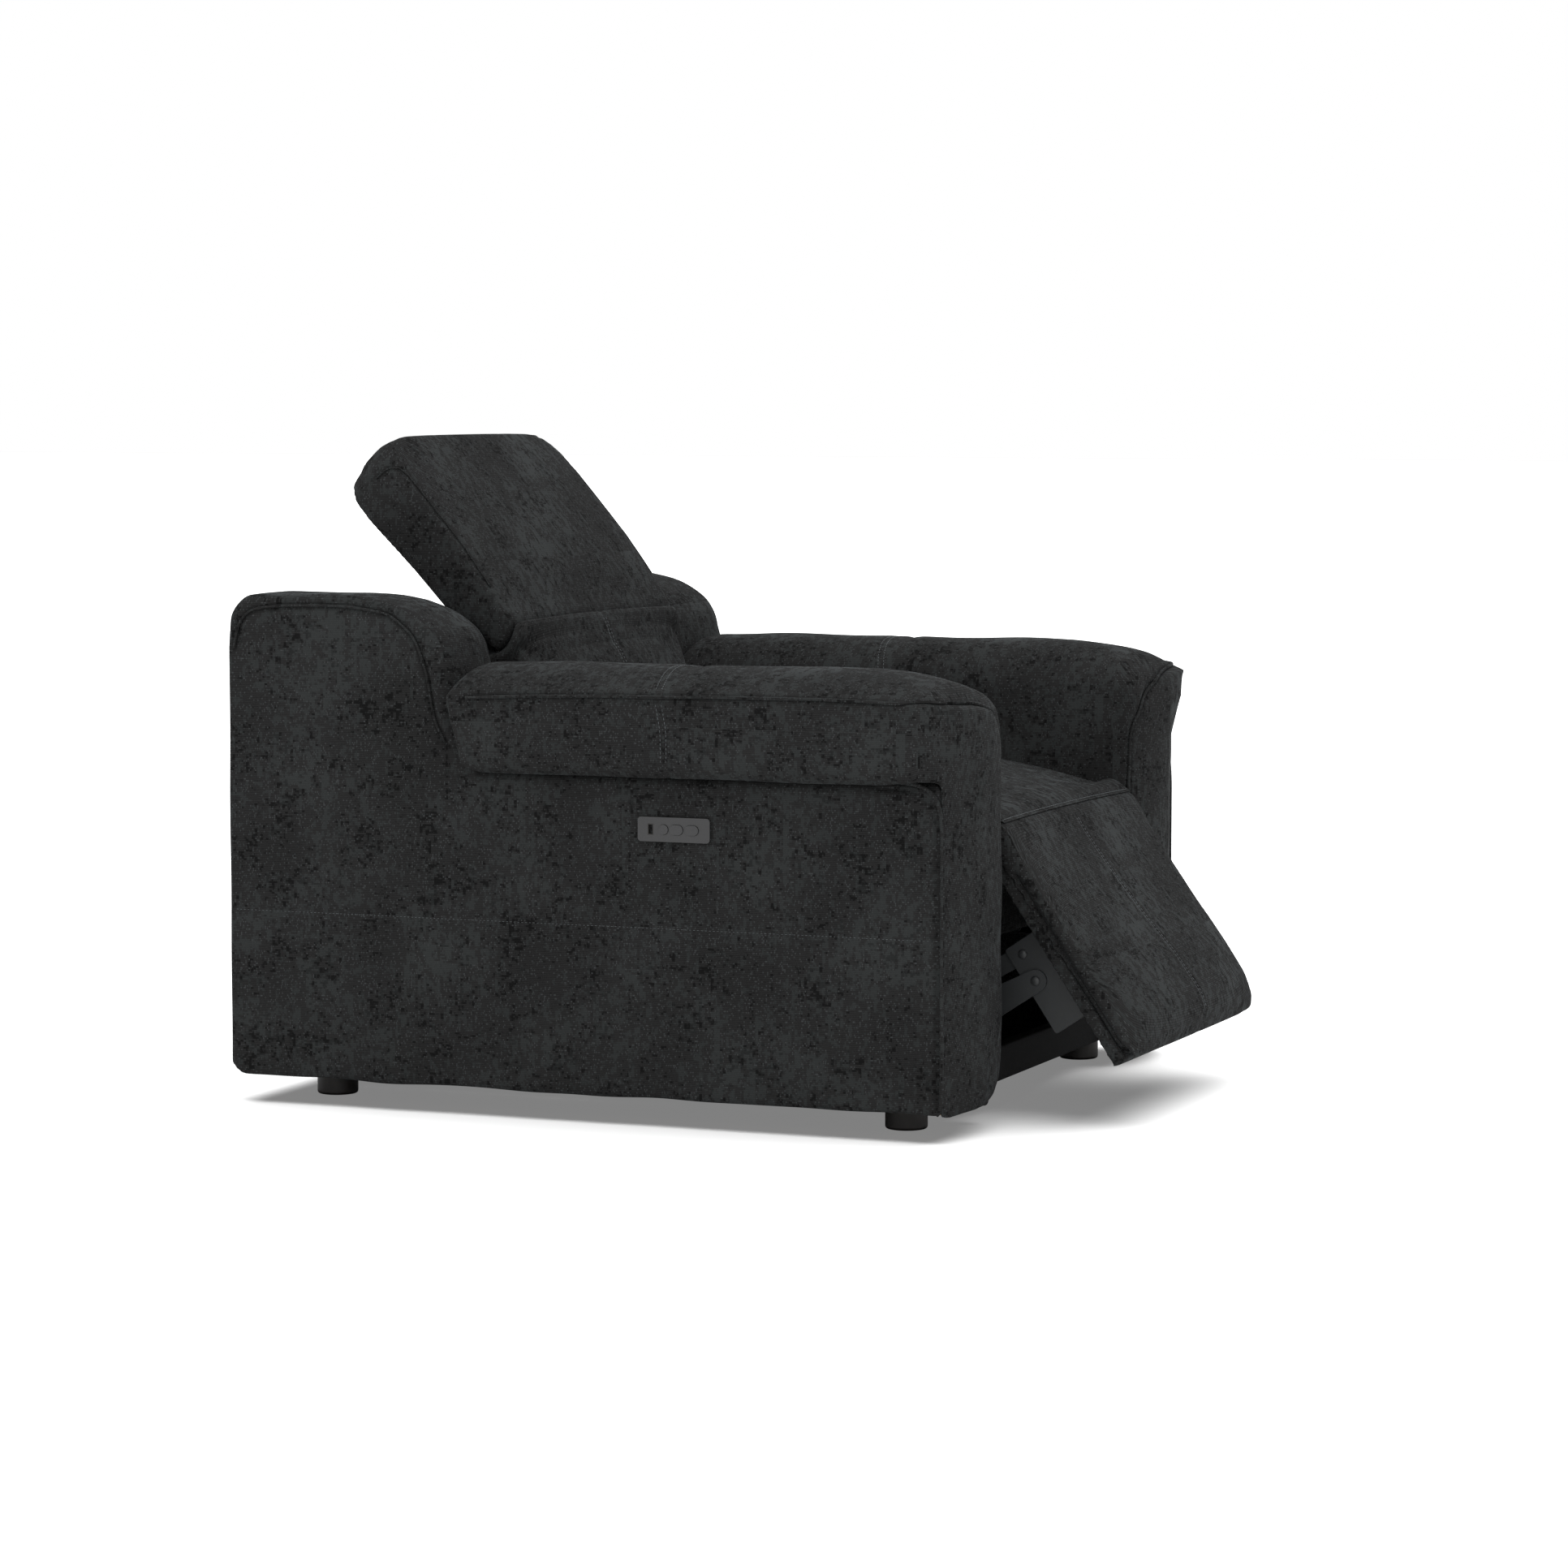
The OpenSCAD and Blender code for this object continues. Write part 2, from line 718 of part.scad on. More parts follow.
// Seat frame: two side rails and two cross rails
rail_front_y = 55;
cross_h = 16;
cross_w = 20;
module seat_frame() {
  top = seat_z - spring_t;
  color(steel) centred() {
    pair() block([rail_x, rail_front_y, rail_z], [rail_x + rail_w, seat_d + cross_w - 1, top]);
    for (y = [rail_front_y, seat_d - 5])
      block([-rail_x - 1, y, top - cross_h], [rail_x + 1, y + cross_w, top]);
  }
}

function zigzag(y0, y1, n, w, t) = concat(
  [for (i = [0:n]) [(i % 2 == 0 ? -w : w) / 2 - t, lerp(y0, y1, i / n)]],
  [for (i = [n:-1:0]) [(i % 2 == 0 ? -w : w) / 2 + t, lerp(y0, y1, i / n)]]);

// Zigzag springs across the seat frame, front to back
module seat_springs() {
  count = 5;
  pitch = 2 * (rail_x - 40) / (count - 1);
  color(zinc) centred() for (i = [0:count - 1])
    translate([-rail_x + 40 + i * pitch, 0, seat_z - spring_t]) linear_extrude(spring_t)
      polygon(zigzag(rail_front_y + 3, seat_d + 10, 24, 34, 3));
}

// Seat cushion: front lip round the footrest knuckle, crowned top
lip_r = knuckle_r + 3;
lip_z = knuckle_z + lip_r;
lug_x = 200;
lug_t = 8;
barrel_w = 12;
pocket_hw = lug_t / 2 + barrel_w + 4;
function seat_section(rise) = concat(
  arc(knuckle, lip_r, -35, 90, 9),
  [for (k = [0.06, 0.12, 0.22, 0.36, 0.55, 0.75, 0.9]) let (y = knuckle_y + k * (seat_d - knuckle_y))
    [y, lip_z + (seat_edge_z - lip_z) * (1 - exp(-k * 8)) + rise * sin(lerp(8, 165, k))]],
  [[seat_d - 6, seat_edge_z - 4 + rise * 0.3], [seat_d, seat_edge_z - 16],
    [seat_d, seat_z + 10], [seat_d - 6, seat_z], [rail_front_y + 6, seat_z]]);

module seat_cushion() {
  edge = seat_section(0);
  mid = seat_section(seat_crown);
  rings = [for (r = across(edge, mid, cushion_hw, 2.4, 0)) [for (e = r) [e[0], e[1], max(e[2], seat_z)]]];
  color(fabric) centred() difference() {
    loft(rings, true);
    pair() block([lug_x - lug_t / 2 - 1, 0, seat_z - 1],
      [lug_x + lug_t / 2 + 1, rail_front_y + 26, knuckle_z + 12]);
  }
}

apron_t = 12;
apron_h = 100;
module apron() {
  w = layer_x - plate_t - 15;
  color(fabric) centred()
    block([-w, rail_front_y - apron_t, seat_z - apron_h], [w, rail_front_y, seat_z - spring_t]);
}

// Steel plates that carry the crank, the glide shoes and the back hinge
module mechanism_plates() {
  low = track_z - shoe_h / 2;
  top = seat_z - spring_t;
  boss = 20;
  front = crank_pin[0] - boss - 5;
  color(steel) centred() pair() slab(side_plate_x, plate_t) difference() {
    union() {
      polygon([[front, top], [front, crank_pin[1] - boss - 4], [shoe_ys[0] - 30, low],
        [shoe_ys[1] + shoe_l, low], [shoe_ys[1] + shoe_l + 70, rail_z],
        back_hinge + 0.7 * [boss, -boss], back_hinge + 0.7 * [-boss, boss], [seat_d + cross_w, top]]);
      translate(back_hinge) circle(r = boss);
    }
    translate([seat_d - 5, top - cross_h]) square([cross_w, cross_h + 1]);
    hole(crank_pin, 16 + 2 * pin_gap);
    hole(back_hinge, hinge_tube_d + 2 * pin_gap);
  }
}

hinge_tube_d = 22;

// Square tubes between the mechanism plates, under the seat
module seat_tubes() {
  s = 25;
  color(steel) centred() for (y = [leg_mouth + front_tube_gap, recline_mouth - rear_tube_gap])
    block([-side_plate_x, y, seat_tube_z], [side_plate_x, y + s, seat_tube_z + s]);
}

module glide_shoes() {
  color(plastic) centred() pair() for (y = shoe_ys)
    block([rail_x, y, track_z - shoe_h / 2], [web_x - shoe_gap, y + shoe_l, track_z + shoe_h / 2]);
}

// Lugs and pins of the footrest hinge, standing on the front rail
lug_pin_d = 8;
module hinge_lugs() {
  color(steel) centred() pair() {
    slab(lug_x - lug_t / 2, lug_t) union() {
      translate(knuckle) circle(r = 9);
      translate([knuckle_y, knuckle_z - 9]) square([rail_front_y + 20 - knuckle_y, 18]);
      translate([rail_front_y, seat_z - spring_t]) square([20, knuckle_z - seat_z]);
    }
    round_bar(lug_x - lug_t / 2 - barrel_w - 1, lug_x + lug_t / 2 + barrel_w + 1, knuckle, lug_pin_d);
  }
}

// Screw drive: a square guide tube with its mouth at one end, the motor at the other
rod_d = 16;
drive_s = 34;
seat_tube_z = yoke_z + drive_s / 2;
module drive(l, top) {
  end = 50;
  difference() {
    union() {
      block([-drive_s / 2, 0, -drive_s / 2], [drive_s / 2, l, top]);
      block([-27, l - 1, -27], [27, l + end, 14]);
      translate([0, l + end / 2, -26]) rotate([180, 0, 0]) cylinder(h = 60, d = 46);
    }
    translate([0, -1, 0]) rotate([-90, 0, 0]) cylinder(h = l - 20, d = rod_d + 1);
  }
}

leg_mouth = crank_pin[0] + 120;
recline_mouth = back_hinge_y - 95;
leg_drive_l = 350;
recline_drive_l = 275;
front_tube_gap = 150;
rear_tube_gap = 65;
leg_rod_hold = 100;
recline_rod_hold = 145;
module leg_motor() {
  color(plastic) centred() translate([leg_x, leg_mouth, yoke_z]) drive(leg_drive_l, drive_s / 2);
}

module recline_motor() {
  color(plastic) centred() translate([recline_x, recline_mouth, back_yoke_z]) mirror([0, 1, 0])
    drive(recline_drive_l, seat_tube_z - back_yoke_z);
}

// Yoke rod: a round rod with a plate at its end, slotted for the lever's pin
yoke_t = 8;
yoke_w = 15;
yoke_half = 22;
module yoke_rod(x, pin_y, z, tall, rod_y0, rod_y1) {
  difference() {
    union() {
      block([x - yoke_t / 2, pin_y - yoke_half, z - tall / 2 - 11],
        [x + yoke_t / 2, pin_y + yoke_half, z + tall / 2 + 11]);
      translate([x, rod_y0, z]) rotate([-90, 0, 0]) cylinder(h = rod_y1 - rod_y0, d = rod_d);
    }
    slab(x - rod_d, 2 * rod_d) {
      for (s = [-1, 1]) translate([pin_y, z + s * (tall - yoke_w) / 2]) circle(d = yoke_w);
      translate([pin_y - yoke_w / 2, z - (tall - yoke_w) / 2]) square([yoke_w, tall - yoke_w]);
    }
  }
}

lever_angle = lever_mid - 90;
lever_pin = crank_pin + lever_r * [cos(lever_angle), sin(lever_angle)];
module leg_rod() {
  color(zinc) centred() yoke_rod(leg_x, lever_pin[0], yoke_z, 31, lever_pin[0] + yoke_half - 2,
    leg_mouth + leg_rod_hold);
}

module recline_rod() {
  color(zinc) centred() yoke_rod(recline_x, back_hinge_y, back_yoke_z, 26,
    recline_mouth - recline_rod_hold, back_hinge_y - yoke_half + 2);
}

// Back frame: two uprights, cross rails and the lever of the recline drive
upright_w = 20;
upright_d = 30;
upright_x = rail_x + 0.5;
module tilted_block(x0, x1, u0, u1, w0, w1) {
  translate([0, back_hinge_y, back_hinge_z]) rotate([-back_lean, 0, 0]) block([x0, w0, u0], [x1, w1, u1]);
}

// The two cheeks of a fork
module fork(x) {
  for (s = [-1, 1]) slab(x + s * fork_half - fork_t / 2, fork_t) children();
}

fork_half = 9;
fork_t = 6;
fork_pin_l = 24;
module back_frame() {
  lever_end = back_hinge - [0, back_lever_r];
  color(steel) centred() {
    pair() {
      slab(upright_x, upright_w) translate(back_hinge) circle(r = 18);
      tilted_block(upright_x, upright_x + upright_w, 0, back_frame_l, -upright_d / 2, upright_d / 2);
    }
    for (u = [45, back_frame_l - 24])
      tilted_block(-upright_x - 1, upright_x + 1, u, u + 24, -upright_d / 2 + 4, upright_d / 2);
    round_bar(-upright_x - 1, upright_x + 1, back_hinge, hinge_tube_d);
    fork(recline_x) strap(back_hinge, lever_end, 16, 13);
    round_bar(recline_x - fork_pin_l / 2, recline_x + fork_pin_l / 2, lever_end, pin_d);
  }
}

module back_springs() {
  count = 4;
  pitch = 2 * (upright_x - 60) / (count - 1);
  color(zinc) centred() translate([0, back_hinge_y, back_hinge_z]) rotate([-back_lean, 0, 0])
    for (i = [0:count - 1])
      translate([-upright_x + 60 + i * pitch, -upright_d / 2 + spring_t, 0]) rotate([90, 0, 0])
        linear_extrude(spring_t) polygon(zigzag(50, back_frame_l - 3, 10, 34, 3));
}

// Back cushion: front swells at the lumbar, its top hollows round the headrest
head_lip_r = head_r + 0.6;
function back_face(z) = back_at((z - back_hinge_z) / cos(back_lean), -upright_d / 2 - 0.3);
function back_section(out) = concat(
  [[back_face(back_cushion_z)[0] - 8, back_cushion_z]],
  [back_face(back_cushion_z + 12)],
  [back_face(560)],
  [back_face(head_z - 36)],
  arc(head, head_lip_r, 306, 188, 10),
  [for (e = [[0.9, 49, 0.8], [0.78, 38, 1], [0.61, 23, 1], [0.42, 11, 0.9], [0.27, 3, 0.5]])
    [seat_d + 9 + e[1] - e[2] * out, lerp(back_cushion_z, head_z, e[0])]],
  [[seat_d + 9, back_cushion_z + 38], [seat_d + 9, back_cushion_z + 13], [seat_d + 16, back_cushion_z]]);

module back_cushion() {
  color(fabric) centred() difference() {
    loft(across(back_section(0), back_section(back_crown), cushion_hw, 2.4, 0.25));
    pair() slab(ratchet_x - 1, ratchet_t + 2) strap(head, ratchet_foot, 17, 12);
  }
}

// Thin cloth over the rear of the back frame
module back_cover() {
  hw = upright_x + upright_w;
  color(cloth_black) centred() tilted_block(-hw, hw, 30, back_frame_l, upright_d / 2, upright_d / 2 + 2.5);
}

arm_t = 3;
module guide_arms() {
  x = upright_x + upright_w;
  color(steel) centred() pair() {
    slab(x, arm_t) strap(back_at(215, 0), guide_top, 12, 9);
    round_bar(x, arm_in - 0.4, guide_top, roller_d);
  }
}

// Ratchet hinge of the headrest, the lower half on the back frame
ratchet_x = 236;
ratchet_t = 5;
ratchet_pin_d = 12;
ratchet_u = back_frame_l - 14;
ratchet_foot = back_at(ratchet_u, -upright_d / 2 - 9);
module ratchet_bases() {
  color(steel) centred() pair() {
    slab(ratchet_x, ratchet_t) difference() {
      strap(head, ratchet_foot, 15, 9);
      hole(head, ratchet_pin_d + 2 * pin_gap);
    }
    tilted_block(ratchet_x, ratchet_x + ratchet_t, ratchet_u - 8, ratchet_u + 8,
      -upright_d / 2 - 9, -upright_d / 2 + 4);
  }
}

// Headrest section: along the headrest and in front of its hinge, rear face first
headrest_board_t = 12;
headrest_face = headrest_board_t - head_rear;
function head_section(rise) = concat(
  [[60, headrest_face], [head_l / 2, headrest_face], [head_l - 30, headrest_face], [head_l - 8, -10],
    [head_l, 14], [head_l, 45 + rise * 0.2], [head_l - 7, 62 + rise * 0.75]],
  [for (k = [0.88, 0.65, 0.4, 0.15]) [k * head_l, lerp(head_r, 62, k) + rise * sin(110 * pow(k, 0.7))]],
  arc([0, 0], head_r, 90, 180 + asin(-headrest_face / head_r), 8));

function corner_drop(x, r) = r * (1 - sqrt(max(0, 1 - pow(max(0, abs(x) - cushion_hw + r) / r, 2))));

module headrest_board() {
  color(timber) centred() translate([0, head_y, head_z]) rotate([-head_lean, 0, 0])
    block([-cushion_hw + 30, head_rear - headrest_board_t + 0.1, 50],
      [cushion_hw - 30, head_rear, head_l - 70]);
}

module headrest_pad() {
  rings = [for (r = across(head_section(0), head_section(head_crown), cushion_hw, 2.6, 0))
    [for (e = r) let (d = 1 - corner_drop(e[0], head_corner_r) / head_l,
      q = head_at(e[1] > 0 ? e[1] * d : e[1], e[2]))
      [e[0], q[0], q[1]]]];
  color(fabric) centred() difference() {
    loft(rings);
    pair() slab(ratchet_x - 4, 2 * ratchet_t + 6.5) union() {
      strap(head, head_at(40, -38), 17, 12);
      polygon([head + [-17, 0], head + [-30, -50], head + [45, -50], head + [22, 10]]);
    }
  }
}

module ratchet_arms() {
  x = ratchet_x + ratchet_t + 0.5;
  r = 10;
  f = -head_rear - r - 0.1;
  color(steel) centred() pair() {
    slab(x, ratchet_t) {
      strap(head, head_at(40, f), 14, r);
      strap(head_at(40, f), head_at(160, f), r, r);
    }
    round_bar(ratchet_x - 3, x + 1, head, ratchet_pin_d);
  }
}

// Footrest section: along the footrest and in front of its hinge's plane
footrest_face = 3;
footrest_rear = footrest_face + footrest_board_t;
function footrest_section(rise) = let (
  share = [0.11, 0.3, 0.5, 0.7, 0.86, 0.95, 1],
  edge = [25, 23, 22, 20, 17, 12, 4],
  crown = [0.12, 0.28, 0.5, 0.85, 1, 0.8, 0.35])
  concat(
    [[30, 1 - footrest_rear], [30, -footrest_face], [footrest_l - 8, -footrest_face]],
    [for (i = [6:-1:0]) [share[i] * footrest_l, edge[i] + rise * crown[i]]],
    arc([0, 0], knuckle_r - 0.3, 90, 180 + asin((footrest_rear - 1) / knuckle_r), 10));

module footrest_block(x0, x1, s0, s1, t0, t1) {
  translate([0, knuckle_y, knuckle_z]) rotate([-rest_lean, 0, 0]) block([x0, t0, -s1], [x1, t1, -s0]);
}

module footrest_board() {
  inset = 8;
  color(timber) centred() footrest_block(inset - cushion_hw, cushion_hw - inset, 31,
    footrest_l - inset + 1, footrest_face, footrest_rear);
}

module footrest_pad() {
  edge = footrest_section(0);
  mid = footrest_section(footrest_crown - 17);
  rings = [for (r = across(edge, mid, cushion_hw, 2.6, 0.16))
    [for (e = r) let (d = 1 - corner_drop(e[0], 20) / footrest_l,
      q = leg(e[1] > 0 ? e[1] * d : e[1], -e[2]))
      [e[0], q[0], q[1]]]];
  color(fabric) centred() difference() {
    loft(rings, true);
    pair() footrest_block(lug_x - pocket_hw, lug_x + pocket_hw, -knuckle_r - 4, 31, -11, knuckle_r + 4);
  }
}

// Steel bracket on each side of the footrest, with its flange and rivets
bracket_s0 = 134;
bracket_s1 = 273;
bracket_deep = 82;
bracket_r = 4;
rivet_d = 14;
rivet_h = 4;
// Domed head of a rivet, on the side of its plate
module rivet_head(x, c, side) {
  translate([x, c[0], c[1]]) rotate([0, side * 90, 0]) rotate_extrude()
    polygon(concat([[0, 0]], oval([0, 0], rivet_d / 2, rivet_h, 0, 90, 6)));
}

module footrest_brackets() {
  r = bracket_r;
  color(steel) centred() pair() {
    slab(layer_x, plate_t) union() {
      polygon([leg(bracket_s0, footrest_rear), leg(bracket_s1, footrest_rear),
        leg(bracket_s1, bracket_deep - r), leg(bracket_s1 - r, bracket_deep),
        leg(bracket_s0 + r, bracket_deep), leg(bracket_s0, bracket_deep - r)]);
      translate(leg(bracket_s1 - r, bracket_deep - r)) circle(r = r);
      translate(leg(bracket_s0 + r, bracket_deep - r)) circle(r = r);
    }
    footrest_block(layer_x - 22, layer_x + 1, bracket_s0, bracket_s1,
      footrest_rear, footrest_rear + plate_t);
    round_bar(layer_x - plate_t - 1, layer_x + 1, upper_pin, pin_d);
    round_bar(layer_x, outer_link_x + plate_t + 0.4, lower_pin, pin_d);
    rivet_head(layer_x - plate_t - 0.8, upper_pin, -1);
    rivet_head(layer_x + plate_t, upper_pin, 1);
    rivet_head(outer_link_x + plate_t + 0.3, lower_pin, 1);
  }
}

module footrest_hinges() {
  leaf_t = 3;
  bend = leg(6, footrest_rear + leaf_t / 2);
  end = leg(90, footrest_rear + leaf_t / 2);
  color(steel) centred() pair() for (x = [lug_x - lug_t / 2 - 0.5 - barrel_w, lug_x + lug_t / 2 + 0.5])
    slab(x, barrel_w) difference() {
      union() {
        circle_at(knuckle, 9);
        strap(knuckle, bend, 4, leaf_t / 2);
        strap(bend, end, leaf_t / 2, leaf_t / 2);
      }
      hole(knuckle, lug_pin_d + 2 * pin_gap);
    }
}

module circle_at(c, r) {
  translate(c) circle(r = r);
}

// Crank: a cross tube with a plate at each end and the lever of the leg drive
crank_lower = lower_pin + link;
crank_upper = upper_pin + link;
crank_tube_d = 24;
module crank_tube() {
  end_x = side_plate_x + plate_t - 0.3;
  color(steel) centred() {
    round_bar(-layer_x, layer_x, crank_pin, crank_tube_d);
    pair() round_bar(layer_x + plate_t, end_x, crank_pin, 16);
  }
}

// Forked lever on the crank tube, with the pin that the leg rod drives
module crank_lever() {
  color(steel) centred() {
    fork(leg_x) difference() {
      strap(crank_pin, lever_pin, 18, 12);
      hole(crank_pin, crank_tube_d + 2 * pin_gap);
    }
    round_bar(leg_x - fork_pin_l / 2, leg_x + fork_pin_l / 2, lever_pin, pin_d);
  }
}

module crank_plates() {
  color(steel) centred() pair() {
    slab(layer_x, plate_t) {
      strap(crank_pin, crank_lower, 18, 16);
      circle_at(crank_upper, 14);
    }
    round_bar(layer_x + 1, outer_link_x + plate_t, crank_lower, pin_d);
    round_bar(inner_link_x - 1, layer_x + 1, crank_upper, pin_d);
    rivet_head(inner_link_x - 0.3, crank_upper, -1);
  }
}

module lower_links() {
  color(steel) centred() pair() slab(outer_link_x, plate_t) difference() {
    strap(lower_pin, crank_lower, 16, 26);
    hole(lower_pin, pin_d + 2 * loose_gap);
    hole(crank_lower, pin_d + 2 * pin_gap);
  }
}

module upper_links() {
  color(steel) centred() pair() slab(inner_link_x, plate_t) difference() {
    strap(upper_pin, crank_upper, 13, 13);
    hole(upper_pin, pin_d + 2 * loose_gap);
    hole(crank_upper, pin_d + 2 * pin_gap);
  }
}

right_side_panel();
left_side_panel();
right_arm_pad();
left_arm_pad();
right_front_band();
left_front_band();
right_wing_pad();
left_wing_pad();
right_inner_panel();
left_inner_panel();
right_arm_frame();
left_arm_frame();
outside_back();
base_rails();
feet();
right_track();
left_track();
base_tubes();
guide_plates();
control_plate();
switch_box();
usb_socket();
button_springs();
power_supply();
power_inlet();
switch_lead();
home_button();
recline_button();
upright_button();
seat_frame();
seat_springs();
seat_cushion();
apron();
mechanism_plates();
seat_tubes();
glide_shoes();
hinge_lugs();
leg_motor();
recline_motor();
back_frame();
back_springs();
back_cushion();
back_cover();
guide_arms();
ratchet_bases();
headrest_board();
headrest_pad();
ratchet_arms();
footrest_board();
footrest_pad();
footrest_brackets();
footrest_hinges();
crank_tube();
crank_lever();
crank_plates();
lower_links();
upper_links();
leg_rod();
recline_rod();
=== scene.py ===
# A power recliner in distressed chenille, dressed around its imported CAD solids.
# Metres throughout. Depth is counted back from the seam at the front of the arms.
import json
import math

import bmesh
import bpy
import numpy as np
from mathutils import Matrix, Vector
from mathutils.bvhtree import BVHTree
from mathutils.kdtree import KDTree


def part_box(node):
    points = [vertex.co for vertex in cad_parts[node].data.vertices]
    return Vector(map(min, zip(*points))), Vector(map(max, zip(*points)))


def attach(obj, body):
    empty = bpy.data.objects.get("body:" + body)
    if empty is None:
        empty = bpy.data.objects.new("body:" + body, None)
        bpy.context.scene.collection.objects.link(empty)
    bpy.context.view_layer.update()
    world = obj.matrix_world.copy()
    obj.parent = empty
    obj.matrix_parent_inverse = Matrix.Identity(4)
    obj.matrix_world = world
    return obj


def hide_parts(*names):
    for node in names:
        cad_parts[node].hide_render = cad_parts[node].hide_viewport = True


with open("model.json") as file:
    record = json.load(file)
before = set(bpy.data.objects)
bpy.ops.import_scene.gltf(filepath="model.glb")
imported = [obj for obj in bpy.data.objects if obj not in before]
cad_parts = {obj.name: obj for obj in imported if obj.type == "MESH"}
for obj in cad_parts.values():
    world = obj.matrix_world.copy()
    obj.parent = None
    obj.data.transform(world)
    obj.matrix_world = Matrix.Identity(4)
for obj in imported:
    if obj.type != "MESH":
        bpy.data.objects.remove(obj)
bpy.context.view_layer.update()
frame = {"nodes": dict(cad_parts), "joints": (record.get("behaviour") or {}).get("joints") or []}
scene = bpy.context.scene
mm = 0.001


def low(node):
    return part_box(node)[0]


def high(node):
    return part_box(node)[1]


# main planes of the chair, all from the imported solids
seamY = low("left_side_panel").y
armIn = low("left_inner_panel").x
armOut = high("left_side_panel").x
padOut = high("left_arm_pad").x
padLow = high("left_inner_panel").z
shellLow = low("left_side_panel").z
shellBack = high("left_side_panel").y
wingTop = high("left_side_panel").z
joints = {joint["name"]: joint for joint in frame["joints"]}
headHinge = Vector(joints["headrest_tilt"]["pos_m"])
legHinge = Vector(joints["footrest_lift"]["pos_m"])


def at(x, depth, z):  # a place given in millimetres
    return np.array([x * mm, seamY + depth * mm, z * mm])


# camera, where the photograph was taken from
photo = {"place": (-6.5211, -2.6479, 1.0326), "looksAlong": (0.92333, 0.37486, -0.08328), "lensMm": 108.35,
         "filmMm": 36.0}
print("setting up the camera")
cameraData = bpy.data.cameras.new("photoCamera")
cameraData.lens = photo["lensMm"]
cameraData.sensor_width = photo["filmMm"]
cameraData.clip_end = 200.0
camera = bpy.data.objects.new("photoCamera", cameraData)
camera.location = photo["place"]
camera.rotation_euler = Vector(photo["looksAlong"]).to_track_quat("-Z", "Y").to_euler()
scene.collection.objects.link(camera)
scene.camera = camera
scene.view_settings.view_transform = "Standard"


def toLinear(hexCode):
    def one(pair):
        s = int(pair, 16) / 255
        return s / 12.92 if s <= 0.04045 else ((s + 0.055) / 1.055) ** 2.4
    code = hexCode.lstrip("#")
    return (one(code[0:2]), one(code[2:4]), one(code[4:6]), 1.0)


def addNode(tree, kind, settings=None, links=None):
    # settings go to the node's own properties or else to its sockets, links bring other nodes' outputs
    node = tree.nodes.new(kind)
    for key, value in (settings or {}).items():
        if isinstance(key, str) and hasattr(node, key):
            setattr(node, key, value)
        else:
            node.inputs[key].default_value = value
    for key, source in (links or {}).items():
        tree.links.new(source, node.inputs[key])
    return node


def newMaterial(name, surface):
    material = bpy.data.materials.new(name)
    material.use_nodes = True
    tree = material.node_tree
    tree.nodes.clear()
    bsdf = addNode(tree, "ShaderNodeBsdfPrincipled", surface)
    addNode(tree, "ShaderNodeOutputMaterial", links={"Surface": bsdf.outputs["BSDF"]})
    return material, tree, bsdf


def waveScale(pitch):  # scale at which Blender's wave bands repeat once each pitch
    return math.tau / (20 * pitch)


# Distressed chenille: tufted polyester yarn woven over a ribbed ground, then crushed, its pile laid by
# brushing. Cool grey tufted patches lie between ribbed ground with light flecks, and worn specks show the
# dark backing. A painted sheen lightens the tufts' colour towards a pale grey where they are seen edge on.
# Ribs and notches are drawn about twice as coarse as the real yarn, so that they show in the render.
chenilleLook = {
    "tuft": "#373939", "ground": "#2b2b2b", "speck": "#191919", "fleck": "#4c4f50", "paintedSheen": "#565a5c",
    "nap": "#b2b7ba", "warp": 1.3 * mm, "weft": 2.6 * mm, "notch": 4.5 * mm, "zone": 150 * mm,
    "patchWide": 13 * mm, "patchTall": 24 * mm, "bare": 0.538, "zoneShare": 0.35, "ragged": 0.08,
    "speckSize": 10 * mm, "cluster": 60 * mm, "clusterShare": 0.6, "speckRagged": 0.12, "speckEdge": 0.96,
    "fleckAbove": 0.9, "fleckCover": 0.45, "paintedSheenPower": 4.0, "paintedSheenTuft": 0.7, "paintedSheenGround": 0.02,
    "ribGround": 0.55, "ribTuft": 0.2, "darkZone": 0.6, "lightZone": 0.88, "yarnShade": 0.14,
    "relief": 0.7 * mm, "sheen": 0.03, "gloss": 0.05,
}


